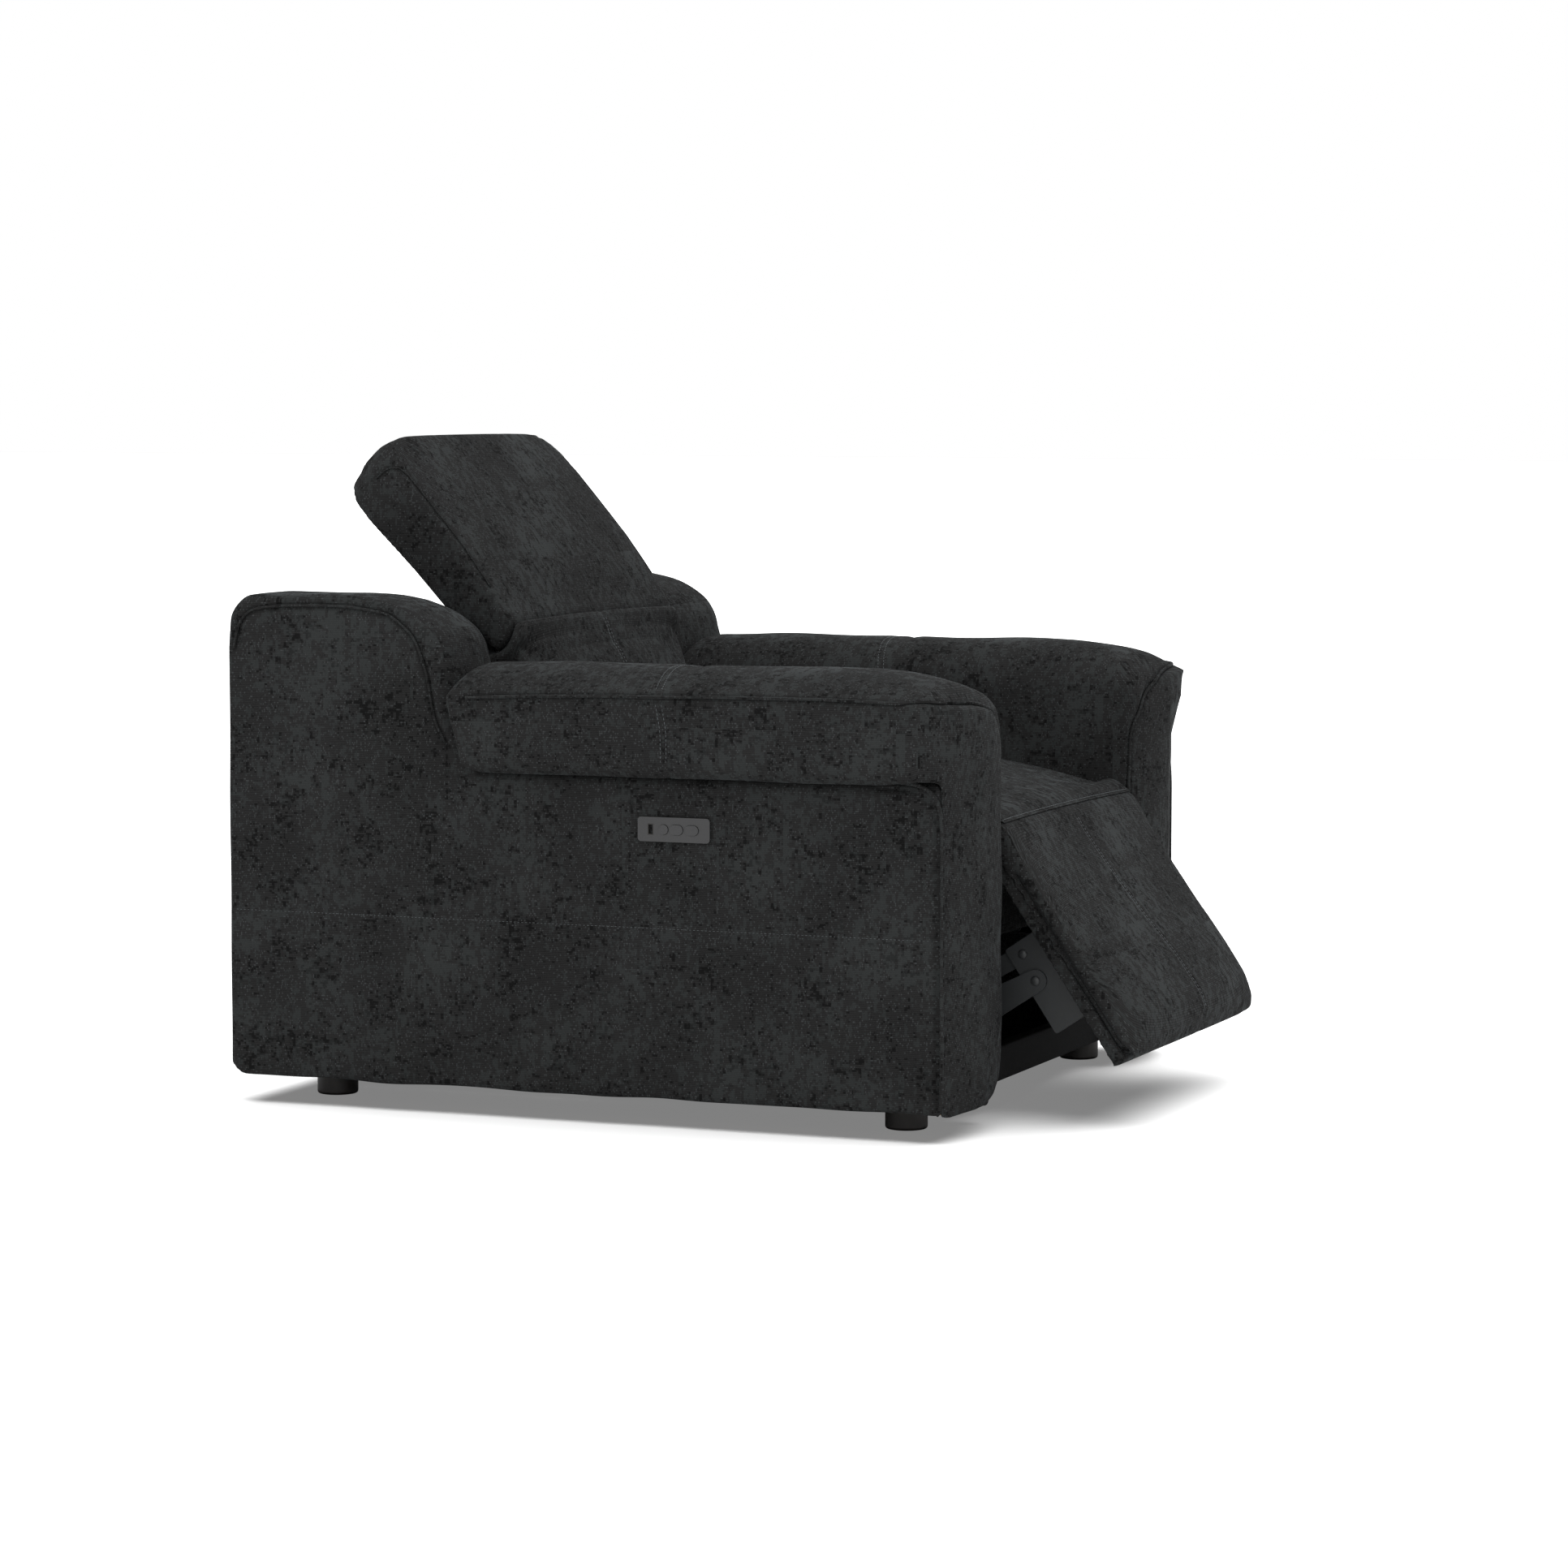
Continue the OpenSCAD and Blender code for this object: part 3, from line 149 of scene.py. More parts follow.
def makeChenille(look):
    material, tree, bsdf = newMaterial("distressedChenille", {
        "Specular IOR Level": look["gloss"], "Sheen Weight": look["sheen"], "Sheen Roughness": 0.45,
        "Sheen Tint": toLinear(look["nap"])})
    cloth = addNode(tree, "ShaderNodeUVMap", {"uv_map": "weave"}).outputs["UV"]

    def calc(operation, *values):
        settings = {i: v for i, v in enumerate(values) if isinstance(v, (int, float))}
        links = {i: v for i, v in enumerate(values) if not isinstance(v, (int, float))}
        return addNode(tree, "ShaderNodeMath", {"operation": operation, **settings}, links).outputs[0]

    def scaled(vector, wide, tall):
        return addNode(tree, "ShaderNodeVectorMath", {"operation": "MULTIPLY", 1: (1 / wide, 1 / tall, 1)},
                       {0: vector}).outputs[0]

    def noise(vector, wide, tall, detail, rough):
        return addNode(tree, "ShaderNodeTexNoise", {"Scale": 1.0, "Detail": detail, "Roughness": rough},
                       {"Vector": scaled(vector, wide, tall)}).outputs["Fac"]

    def yarnRandom(wide, tall):  # one random value for each short run of yarn
        cell = addNode(tree, "ShaderNodeVectorMath", {"operation": "FLOOR"}, {0: scaled(cloth, wide, tall)})
        return addNode(tree, "ShaderNodeTexWhiteNoise", {"noise_dimensions": "2D"},
                       {"Vector": cell.outputs[0]}).outputs["Value"]

    def ramp(value, start, end, least=0.0, most=1.0):
        return addNode(tree, "ShaderNodeMapRange", {"From Min": start, "From Max": end, "To Min": least,
                                                    "To Max": most}, {"Value": value}).outputs["Result"]

    def blend(factor, under, over):
        # under and over are colours or other nodes' outputs
        mix = addNode(tree, "ShaderNodeMix", {"data_type": "RGBA"}, {"Factor": factor})
        for socket, colour in ((6, under), (7, over)):
            if isinstance(colour, tuple):
                mix.inputs[socket].default_value = colour
            else:
                tree.links.new(colour, mix.inputs[socket])
        return mix.outputs[2]

    # patterns step from yarn to yarn, which gives their edges small square notches
    warp, weft = look["warp"], look["weft"]
    stepped = addNode(tree, "ShaderNodeVectorMath", {"operation": "SNAP", 1: (look["notch"], weft, 1.0)},
                      {0: cloth}).outputs[0]
    zone = noise(cloth, look["zone"], look["zone"], 1.0, 0.5)
    ragged = yarnRandom(warp * 2, weft)
    patch = noise(stepped, look["patchWide"], look["patchTall"], 5.0, 0.66)
    patch = calc("MULTIPLY_ADD", zone, look["zoneShare"], patch)
    patch = calc("MULTIPLY_ADD", ragged, look["ragged"], patch)
    edge = look["bare"] + (look["zoneShare"] + look["ragged"]) / 2
    tuft = ramp(patch, edge - 0.007, edge + 0.007)
    speckZone = noise(cloth, look["cluster"], look["cluster"], 2.0, 0.5)
    speck = noise(stepped, look["speckSize"], look["speckSize"], 3.0, 0.7)
    speck = calc("MULTIPLY_ADD", speckZone, look["clusterShare"], speck)
    speck = calc("MULTIPLY_ADD", ragged, look["speckRagged"], speck)
    speck = ramp(speck, look["speckEdge"] - 0.02, look["speckEdge"] + 0.03)

    # the ground is ribbed and flecked, the tufts are even
    ribWave = {"bands_direction": "Y", "Scale": waveScale(weft), "Distortion": 0.6}
    ribs = addNode(tree, "ShaderNodeTexWave", ribWave, {"Vector": cloth}).outputs["Fac"]
    fleck = calc("GREATER_THAN", yarnRandom(warp * 1.3, weft), look["fleckAbove"])
    fleck = calc("MULTIPLY", fleck, look["fleckCover"])
    ground = blend(fleck, toLinear(look["ground"]), toLinear(look["fleck"]))
    base = blend(tuft, ground, toLinear(look["tuft"]))
    worn = calc("MULTIPLY", speck, calc("MULTIPLY_ADD", tuft, -0.5, 1.0))  # half as strong on the tufts
    base = blend(worn, base, toLinear(look["speck"]))
    # painted sheen: where the surface is seen edge on, the colour of the tufts is lightened towards a pale
    # grey
    edgeOn = addNode(tree, "ShaderNodeLayerWeight", {"Blend": 0.4}).outputs["Facing"]
    paintedSheen = calc("MULTIPLY_ADD", tuft, look["paintedSheenTuft"], look["paintedSheenGround"])
    paintedSheen = calc("MULTIPLY", calc("POWER", edgeOn, look["paintedSheenPower"]), paintedSheen)
    base = blend(paintedSheen, base, toLinear(look["paintedSheen"]))
    ribDepth = calc("MULTIPLY_ADD", tuft, look["ribTuft"] - look["ribGround"], look["ribGround"])
    shade = calc("MULTIPLY_ADD", ribs, ribDepth, ramp(zone, 0.3, 0.7, look["darkZone"], look["lightZone"]))
    shade = calc("MULTIPLY_ADD", yarnRandom(warp, weft * 0.5), look["yarnShade"], shade)
    shade = addNode(tree, "ShaderNodeVectorMath", {"operation": "SCALE"}, {0: base, "Scale": shade})
    tree.links.new(shade.outputs[0], bsdf.inputs["Base Color"])

    tree.links.new(ramp(tuft, 0.0, 1.0, 0.95, 0.85), bsdf.inputs["Roughness"])
    height = calc("MULTIPLY_ADD", tuft, 0.5, calc("MULTIPLY", ribs, 0.35))
    height = calc("MULTIPLY_ADD", ragged, 0.3, height)
    bump = addNode(tree, "ShaderNodeBump", {"Strength": 0.5, "Distance": look["relief"]}, {"Height": height})
    tree.links.new(bump.outputs["Normal"], bsdf.inputs["Normal"])
    return material


def makePlain(name, look):
    # a finish with a fine grain: colour drifts between two shades and the grain lifts the surface
    settings = {"Roughness": look["rough"], "Metallic": look.get("metal", 0.0)}
    if "gloss" in look:
        settings["Specular IOR Level"] = look["gloss"]
    if "ior" in look:
        settings["IOR"] = look["ior"]
    material, tree, bsdf = newMaterial(name, settings)
    place = addNode(tree, "ShaderNodeTexCoord").outputs["Object"]
    stretch = {"operation": "MULTIPLY", 1: look.get("stretch", (1, 1, 1))}
    scaled = {"Vector": addNode(tree, "ShaderNodeVectorMath", stretch, {0: place}).outputs[0]}
    drift = addNode(tree, "ShaderNodeTexNoise", {"Scale": 1 / look["drift"], "Detail": 3.0}, scaled)
    grain = addNode(tree, "ShaderNodeTexNoise", {"Scale": 1 / look["grain"], "Detail": 2.0}, scaled)
    shade = addNode(tree, "ShaderNodeMix", {"data_type": "RGBA"}, {"Factor": drift.outputs["Fac"]})
    shade.inputs[6].default_value = toLinear(look["dark"])
    shade.inputs[7].default_value = toLinear(look["light"])
    tree.links.new(shade.outputs[2], bsdf.inputs["Base Color"])
    either = {"To Min": look["rough"] - 0.08, "To Max": look["rough"] + 0.08}
    rough = addNode(tree, "ShaderNodeMapRange", either, {"Value": grain.outputs["Fac"]})
    tree.links.new(rough.outputs["Result"], bsdf.inputs["Roughness"])
    bump = addNode(tree, "ShaderNodeBump", {"Strength": look["relief"], "Distance": look["grain"] * 0.4},
                   {"Height": grain.outputs["Fac"]})
    tree.links.new(bump.outputs["Normal"], bsdf.inputs["Normal"])
    return material


print("mixing the materials")
chenille = makeChenille(chenilleLook)
# Bonded polyester thread, twisted and glazed: lighter than the cloth, with a slight shine
thread = makePlain("polyesterThread", {
    "dark": "#4c5053", "light": "#6a6f72", "rough": 0.55, "drift": 12 * mm, "grain": 0.6 * mm, "relief": 0.5})
# Spunbonded polypropylene lining: flat fibres pressed together, dull black with faint mottling
liningCloth = makePlain("spunbondedLining", {
    "dark": "#0c0c0d", "light": "#131315", "rough": 0.85, "drift": 9 * mm, "grain": 1.5 * mm, "relief": 0.6,
    "gloss": 0.2})
# Rubberwood and birch plywood, sawn and left bare: pale, with long soft grain lines
bareTimber = makePlain("sawnTimber", {
    "dark": "#a98455", "light": "#cfae80", "rough": 0.62, "drift": 25 * mm, "grain": 3 * mm, "relief": 0.35,
    "stretch": (1, 0.12, 1)})
# Mild steel with a baked powder coat: dark grey, satin, with the coat's fine orange peel
coatedSteel = makePlain("powderCoatedSteel", {
    "dark": "#303233", "light": "#383a3b", "rough": 0.42, "drift": 60 * mm, "grain": 1.2 * mm, "relief": 0.12,
    "gloss": 0.5})
# Steel wire and rods with bright zinc plating: a cool metal with soft drawn streaks
zincPlate = makePlain("brightZincPlate", {
    "dark": "#8d9195", "light": "#b9bdc0", "rough": 0.34, "drift": 30 * mm, "grain": 0.8 * mm, "relief": 0.1,
    "metal": 1.0, "stretch": (1, 0.2, 1)})
# Injection-moulded ABS with a spark-eroded skin: soft black, faintly warm
mouldedAbs = makePlain("mouldedAbs", {
    "dark": "#1b1918", "light": "#242120", "rough": 0.5, "drift": 40 * mm, "grain": 0.7 * mm, "relief": 0.2,
    "ior": 1.53})
# Satin ABS of the control plate, painted dark grey: smooth, catches one broad soft highlight
satinAbs = makePlain("satinPaintedAbs", {
    "dark": "#39393a", "light": "#3f3f40", "rough": 0.36, "drift": 50 * mm, "grain": 0.5 * mm, "relief": 0.08,
    "ior": 1.53})

finishes = {
    bareTimber: ["left_arm_frame", "right_arm_frame", "base_rails"],
    coatedSteel: ["left_track", "right_track", "base_tubes", "guide_plates", "seat_frame", "mechanism_plates",
                  "seat_tubes", "hinge_lugs", "back_frame", "guide_arms", "ratchet_bases", "ratchet_arms",
                  "footrest_brackets", "footrest_hinges", "crank_tube", "crank_lever", "crank_plates",
                  "lower_links", "upper_links"],
    zincPlate: ["button_springs", "seat_springs", "back_springs", "leg_rod", "recline_rod"],
    mouldedAbs: ["feet", "switch_box", "usb_socket", "power_supply", "power_inlet", "switch_lead",
                 "glide_shoes", "leg_motor", "recline_motor"],
    satinAbs: ["control_plate", "home_button", "recline_button", "upright_button"],
}
for material, nodes in finishes.items():
    for node in nodes:
        frame["nodes"][node].data.materials.clear()
        frame["nodes"][node].data.materials.append(material)


# mesh tools
def pointsOf(mesh):
    co = np.empty(len(mesh.vertices) * 3)
    mesh.vertices.foreach_get("co", co)
    return co.reshape(-1, 3)


def normalsOf(mesh):
    normals = np.empty(len(mesh.vertices) * 3)
    mesh.vertex_normals.foreach_get("vector", normals)
    return normals.reshape(-1, 3)


def setPoints(mesh, co):
    mesh.vertices.foreach_set("co", np.ascontiguousarray(co, dtype=np.float32).ravel())
    mesh.update()


def addPiece(name, mesh, material, body):
    piece = bpy.data.objects.new(name, mesh)
    scene.collection.objects.link(piece)
    mesh.materials.clear()
    mesh.materials.append(material)
    mesh.polygons.foreach_set("use_smooth", [True] * len(mesh.polygons))
    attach(piece, body)
    return piece


def applied(piece):  # the piece's mesh with its modifiers worked in
    shaped = bpy.data.meshes.new_from_object(piece.evaluated_get(bpy.context.evaluated_depsgraph_get()))
    piece.modifiers.clear()
    old = piece.data
    piece.data = shaped
    bpy.data.meshes.remove(old)
    return piece


def dropIslands(mesh):  # only the largest connected skin stays
    work = bmesh.new()
    work.from_mesh(mesh)
    left = set(work.verts)
    islands = []
    while left:
        island = {left.pop()}
        edge = list(island)
        while edge:
            beside = {other.other_vert(v) for v in edge for other in v.link_edges} - island
            island |= beside
            edge = list(beside)
        left -= island
        islands.append(island)
    islands.sort(key=len)
    bmesh.ops.delete(work, geom=[v for island in islands[:-1] for v in island], context="VERTS")
    work.to_mesh(mesh)
    work.free()


def softCopy(name, nodes, body, grain, smooth):
    # the CAD solids joined into one even skin of square faces, with its corners eased
    joined = bmesh.new()
    for node in nodes:
        joined.from_mesh(frame["nodes"][node].data)
    mesh = bpy.data.meshes.new(name)
    joined.to_mesh(mesh)
    joined.free()
    piece = addPiece(name, mesh, chenille, body)
    even = piece.modifiers.new("even", "REMESH")
    even.mode = "VOXEL"
    even.voxel_size = grain
    applied(piece)
    dropIslands(piece.data)
    return smoothed(piece, smooth)


def smoothed(piece, passes):
    ease = piece.modifiers.new("ease", "SMOOTH")
    ease.factor = 0.5
    ease.iterations = passes
    return applied(piece)


def refine(piece):  # one subdivision
    finer = piece.modifiers.new("finer", "SUBSURF")
    finer.levels = 1
    return applied(piece)


def mirrored(piece, name):
    mesh = piece.data.copy()
    mesh.name = name
    setPoints(mesh, pointsOf(mesh) * [-1, 1, 1])
    mesh.flip_normals()
    return addPiece(name, mesh, mesh.materials[0], "shell")


def roundCorner(co, axes, corner, r, signs, where=None):
    # points outside an arc of radius r in the given corner come in to it
    a, b = axes
    da = (co[:, a] - (corner[0] - signs[0] * r)) * signs[0]
    db = (co[:, b] - (corner[1] - signs[1] * r)) * signs[1]
    d = np.hypot(da, db)
    out = (da > 0) & (db > 0) & (d > r)
    if where is not None:
        out &= where
    co[out, a] = corner[0] - signs[0] * r + signs[0] * da[out] / d[out] * r
    co[out, b] = corner[1] - signs[1] * r + signs[1] * db[out] / d[out] * r


def billow(co, normals, size, height, seed):
    # padding is never dead flat: slow swells of a given size and height
    rng = np.random.default_rng(seed)
    lift = np.zeros(len(co))
    for _ in range(9):
        way = rng.normal(size=3)
        way *= math.tau / (size * rng.uniform(0.7, 1.8)) / np.linalg.norm(way)
        lift += np.sin(co @ way + rng.uniform(0, math.tau)) / 3
    return co + normals * (lift * height)[:, None]


def resample(points, step):
    points = np.asarray(points, float)
    run = np.concatenate([[0], np.cumsum(np.linalg.norm(np.diff(points, axis=0), axis=1))])
    count = max(2, int(run[-1] / step) + 1)
    spots = np.linspace(0, run[-1], count)
    return np.stack([np.interp(spots, run, points[:, i]) for i in range(3)], 1)


def curved(points, step, passes=4):  # corners of a path worn round
    path = resample(points, step)
    for _ in range(passes):
        path[1:-1] = path[1:-1] * 0.5 + (path[:-2] + path[2:]) * 0.25
    return path


def skinOf(piece):
    return BVHTree.FromObject(piece, bpy.context.evaluated_depsgraph_get())


def cast(skin, starts, ways):
    # where lines from the starts, each along its own way or all along one, first meet the skin
    places, normals = [], []
    for start, way in zip(starts, np.broadcast_to(ways, np.shape(starts))):
        place, normal, _, _ = skin.ray_cast(Vector(start), Vector(way))
        if place is not None:
            places.append(place)
            normals.append(normal)
    return np.array(places), np.array(normals)


def nearest(skin, points):
    found = [skin.find_nearest(Vector(p)) for p in points]
    return np.array([f[0] for f in found]), np.array([f[1] for f in found])


folds = {"pitch": 11 * mm, "reach": 16 * mm, "fade": 7 * mm, "changeEvery": 30, "weakest": 0.3}


def sewIn(piece, path, depth, width, gather=0.0, seed=1):
    # the skin is drawn in along a sewn path, and gathers in small folds to both sides of it
    co = pointsOf(piece.data)
    normals = normalsOf(piece.data)
    step = width * 0.3
    path = resample(path, step)
    tree = KDTree(len(path))
    for i, point in enumerate(path):
        tree.insert(point, i)
    tree.balance()
    rng = np.random.default_rng(seed)
    phase = np.cumsum(math.tau * step / folds["pitch"] * rng.uniform(0.4, 1.6, len(path)))
    every = folds["changeEvery"]
    knots = np.arange(0, len(path) + every, every)
    strengths = rng.uniform(folds["weakest"], 1.0, len(path) // every + 2)[:len(knots)]
    strength = np.interp(np.arange(len(path)), knots, strengths)
    reach = folds["reach"] if gather else 3 * width
    for i in np.nonzero(np.all((co > path.min(0) - reach) & (co < path.max(0) + reach), axis=1))[0]:
        _, spot, gap = tree.find(co[i])
        if gap < reach:
            fold = gather * strength[spot] * math.sin(phase[spot]) * math.exp(-gap / folds["fade"])
            co[i] -= normals[i] * (depth * math.exp(-(gap / width) ** 2) + fold)
    setPoints(piece.data, co)


def layWeave(piece, axis, centre=None, flatBefore=None):
    # cloth coordinates in metres: u along the axis and v round it, or flat where no centre is given
    mesh = piece.data
    co = pointsOf(mesh)
    a, b = [i for i in range(3) if i != axis]
    corner = np.empty(len(mesh.loops), int)
    mesh.loops.foreach_get("vertex_index", corner)
    starts = np.empty(len(mesh.polygons), int)
    mesh.polygons.foreach_get("loop_start", starts)
    facing = np.empty(len(mesh.polygons) * 3)
    mesh.polygons.foreach_get("normal", facing)
    facing = facing.reshape(-1, 3)
    owner = np.repeat(np.arange(len(starts)), np.diff(np.append(starts, len(corner))))
    if centre is None:
        uv = co[corner][:, [a, b]]
        side = np.abs(facing[owner, axis]) < 0.6
        across = np.abs(facing[owner, a]) > np.abs(facing[owner, b])
        uv[side & across, 0] = co[corner[side & across], axis]
        uv[side & ~across, 1] = co[corner[side & ~across], axis]
    else:
        bins = 180
        angle = np.arctan2(co[:, b] - centre[1], co[:, a] - centre[0])
        place = (angle + math.pi) / math.tau * bins
        reach = np.full(bins, 0.0)
        np.maximum.at(reach, place.astype(int) % bins, np.hypot(co[:, a] - centre[0], co[:, b] - centre[1]))
        ring = (np.arange(bins + 1) + 0.5) / bins * math.tau - math.pi
        far = np.append(reach, reach[0])
        outline = np.stack([far * np.cos(ring), far * np.sin(ring)], 1)
        run = np.concatenate([[0], np.cumsum(np.linalg.norm(np.diff(outline, axis=0), axis=1))])
        along = np.interp(place, np.arange(bins + 1), run)[corner]
        least = np.minimum.reduceat(along, starts)[owner]
        most = np.maximum.reduceat(along, starts)[owner]
        wrapped = (most - least > run[-1] / 2) & (along < run[-1] / 2)
        along[wrapped] += run[-1]
        uv = np.stack([co[corner, axis], along], 1)
        end = np.abs(facing[owner, axis]) > 0.8
        uv[end] = co[corner[end]][:, [a, b]]
    if flatBefore is not None:
        front = (np.maximum.reduceat(co[corner, 1], starts) < flatBefore)[owner]
        spot = co[corner[front]]
        turnWay = np.sign(spot[:, 0]) * np.sign(np.abs(spot[:, 0]) - 0.41)
        uv[front] = np.stack([spot[:, 0] + spot[:, 1] * turnWay, spot[:, 2]], 1)
    layer = mesh.uv_layers.get("weave") or mesh.uv_layers.new(name="weave")
    layer.data.foreach_set("uv", np.ascontiguousarray(uv, dtype=np.float32).ravel())


def frames(path):
    # a side and an up direction at each point of a path, turning as little as they can
    along = np.gradient(path, axis=0)
    along /= np.linalg.norm(along, axis=1)[:, None]
    up = np.array([0.0, 0.0, 1.0]) if abs(along[0][2]) < 0.9 else np.array([0.0, 1.0, 0.0])
    ups = []
    for tangent in along:
        up = up - tangent * (up @ tangent)
        up = up / np.linalg.norm(up)
        ups.append(up)
    ups = np.array(ups)
    return along, np.cross(along, ups), ups


def tube(name, paths, r, body, sides=8):
    # welts: fabric wrapped over a filler cord and sewn into a seam
    verts, faces = [], []
    for path in paths:
        along, side, up = frames(path)
        first = len(verts)
        for p, s, u in zip(path, side, up):
            for k in range(sides):
                turn = math.tau * k / sides
                verts.append(p + (s * math.cos(turn) + u * math.sin(turn)) * r)
        rings = len(path)
        for i in range(rings - 1):
            for k in range(sides):
                n = (k + 1) % sides
                faces.append([first + i * sides + k, first + i * sides + n, first + (i + 1) * sides + n,
                              first + (i + 1) * sides + k])
        faces.append([first + k for k in reversed(range(sides))])
        faces.append([first + (rings - 1) * sides + k for k in range(sides)])
    mesh = bpy.data.meshes.new(name)
    mesh.from_pydata([tuple(v) for v in verts], [], faces)
    mesh.validate()
    piece = addPiece(name, mesh, chenille, body)
    layWeave(piece, 1)
    return piece


stitch = {"length": 4.2 * mm, "pitch": 6.0 * mm, "thick": 0.95 * mm, "lift": 0.15 * mm}


def sewStitches(name, rows, body):
    # each row is a path with the skin's normals beside it; every stitch is a short plump thread
    verts, faces = [], []
    rounds = [(-0.5, 0.25), (-0.3, 0.85), (0.3, 0.85), (0.5, 0.25)]
    for path, normals in rows:
        run = np.concatenate([[0], np.cumsum(np.linalg.norm(np.diff(path, axis=0), axis=1))])
        for spot in np.arange(stitch["pitch"] / 2, run[-1] - stitch["pitch"] / 2, stitch["pitch"]):
            ends = [np.array([np.interp(spot + d * stitch["length"], run, path[:, i]) for i in range(3)])
                    for d in (-0.5, 0.5)]
            up = np.array([np.interp(spot, run, normals[:, i]) for i in range(3)])
            tangent = ends[1] - ends[0]
            tangent /= np.linalg.norm(tangent)
            side = np.cross(tangent, up)
            side /= np.linalg.norm(side)
            up = np.cross(side, tangent)
            middle = (ends[0] + ends[1]) / 2 + up * stitch["lift"]
            first = len(verts)
            for reach, girth in rounds:
                sink = up * (-0.35 * stitch["thick"] if abs(reach) > 0.4 else 0)
                for k in range(6):
                    turn = math.tau * k / 6
                    around = (side * math.cos(turn) + up * math.sin(turn)) * girth * stitch["thick"] / 2
                    verts.append(middle + tangent * reach * stitch["length"] + sink + around)
            for ring in range(first, first + 18, 6):
                for k in range(6):
                    n = (k + 1) % 6
                    faces.append([ring + k, ring + n, ring + 6 + n, ring + 6 + k])
            faces.append([first + k for k in reversed(range(6))])
            faces.append([first + 18 + k for k in range(6)])
    mesh = bpy.data.meshes.new(name)
    mesh.from_pydata([tuple(v) for v in verts], [], faces)
    return addPiece(name, mesh, thread, body)


def besides(path, normals, offset):  # a seam's twin row, shifted sideways over the skin
    along = np.gradient(path, axis=0)
    side = np.cross(along, normals)
    side /= np.linalg.norm(side, axis=1)[:, None]
    return path + side * offset, normals


def follow(skin, guide, passes=3):
    # a guide path laid on the skin and worn smooth there, with the skin's normals
    path = curved(guide, 4 * mm, 6)
    for _ in range(passes):
        path, normals = nearest(skin, path)
        for _ in range(3):
            path[1:-1] = path[1:-1] * 0.5 + (path[:-2] + path[2:]) * 0.25
    for _ in range(4):
        normals[1:-1] = normals[1:-1] * 0.5 + (normals[:-2] + normals[2:]) * 0.25
    normals /= np.linalg.norm(normals, axis=1)[:, None]
    return path, normals


def puff(piece, look, pinned, clampX=None):
    # air pressure swells the cloth, and no point moves further than its cap
    mesh = piece.data
    co = pointsOf(mesh)
    hold = pinned(co, normalsOf(mesh))
    tucked = co - normalsOf(mesh) * (look["tuck"] * ~hold)[:, None]
    setPoints(mesh, tucked)
    group = piece.vertex_groups.new(name="held")
    group.add([int(i) for i in np.nonzero(hold)[0]], 1.0, "REPLACE")
    cloth = piece.modifiers.new("cloth", "CLOTH")
    settings = cloth.settings
    settings.quality = 4
    settings.mass = 0.35
    settings.tension_stiffness = look["stiff"]
    settings.compression_stiffness = look["stiff"]
    settings.bending_stiffness = 0.6
    settings.use_pressure = True
    settings.uniform_pressure_force = look["pressure"]
    settings.vertex_group_mass = "held"
    settings.effector_weights.gravity = 0.0
    cloth.collision_settings.use_collision = False
    for step in range(1, look["steps"] + 1):
        scene.frame_set(step)
    ready = piece.evaluated_get(bpy.context.evaluated_depsgraph_get())
    swollen = pointsOf(ready.to_mesh())
    ready.to_mesh_clear()
    piece.modifiers.clear()
    scene.frame_set(1)
    move = swollen - tucked
    length = np.linalg.norm(move, axis=1)
    move *= np.minimum(1, look["cap"] / np.maximum(length, 1e-9))[:, None]
    co = tucked + move
    print("  puffed", piece.name, "by", round(float(length.mean()) * 1000, 1), "mm, at most",
          round(float(length.max()) * 1000, 1))
    if clampX:
        co[:, 0] = np.clip(co[:, 0], -clampX, clampX)
    setPoints(mesh, co)
    piece.vertex_groups.clear()


# Arms: one skin over the roll pad, the swelling front panel and the inner side
arm = {"grain": 7 * mm, "underR": 26 * mm, "rearR": 46 * mm, "rearEnd": 724 * mm, "lower": 7 * mm,
       "lowerOver": 40 * mm, "hemHigh": 24 * mm, "hem": 1.6, "fall": 23 * mm, "fallRun": 140 * mm,
       "frontTop": 485, "frontRise": 122, "crossSeam": 398, "rowsApart": 9, "seamLean": 26 * mm,
       "welt": 2.5 * mm}
print("covering the arms")
armNodes = ["left_arm_pad", "left_front_band", "left_inner_panel"]
leftArm = softCopy("leftArm", armNodes, "shell", arm["grain"], 3)
refine(leftArm)
co = pointsOf(leftArm.data)
# the roll pad hangs a little lower than its solid, and its lower edge is round
over = arm["lowerOver"]
under = (co[:, 0] > armOut + 1 * mm) & (co[:, 2] < padLow + over) & (co[:, 1] > seamY + 30 * mm)
drop = np.clip((padLow + over - co[:, 2]) / over, 0, 1) * np.clip((co[:, 0] - armOut) / (15 * mm), 0, 1)
drop *= np.clip((co[:, 1] - seamY - 30 * mm) / (60 * mm), 0, 1)
co[under, 2] -= (arm["lower"] * drop)[under]
outside = co[:, 0] > armOut - 2 * mm
padUnder = padLow - arm["lower"]
roundCorner(co, (0, 2), (padOut, padUnder), arm["underR"], (1, -1), outside & (co[:, 1] > seamY))
roundCorner(co, (1, 2), (seamY + arm["rearEnd"], padUnder), arm["rearR"], (1, -1),
            outside & (co[:, 1] > seamY + 0.6))
# the cloth's lower edge turns under the timber
hemFrom = shellLow + arm["hemHigh"]
hem = (co[:, 1] < seamY + 30 * mm) & (co[:, 2] < hemFrom)
co[hem, 2] = hemFrom - (hemFrom - co[hem, 2]) * arm["hem"]
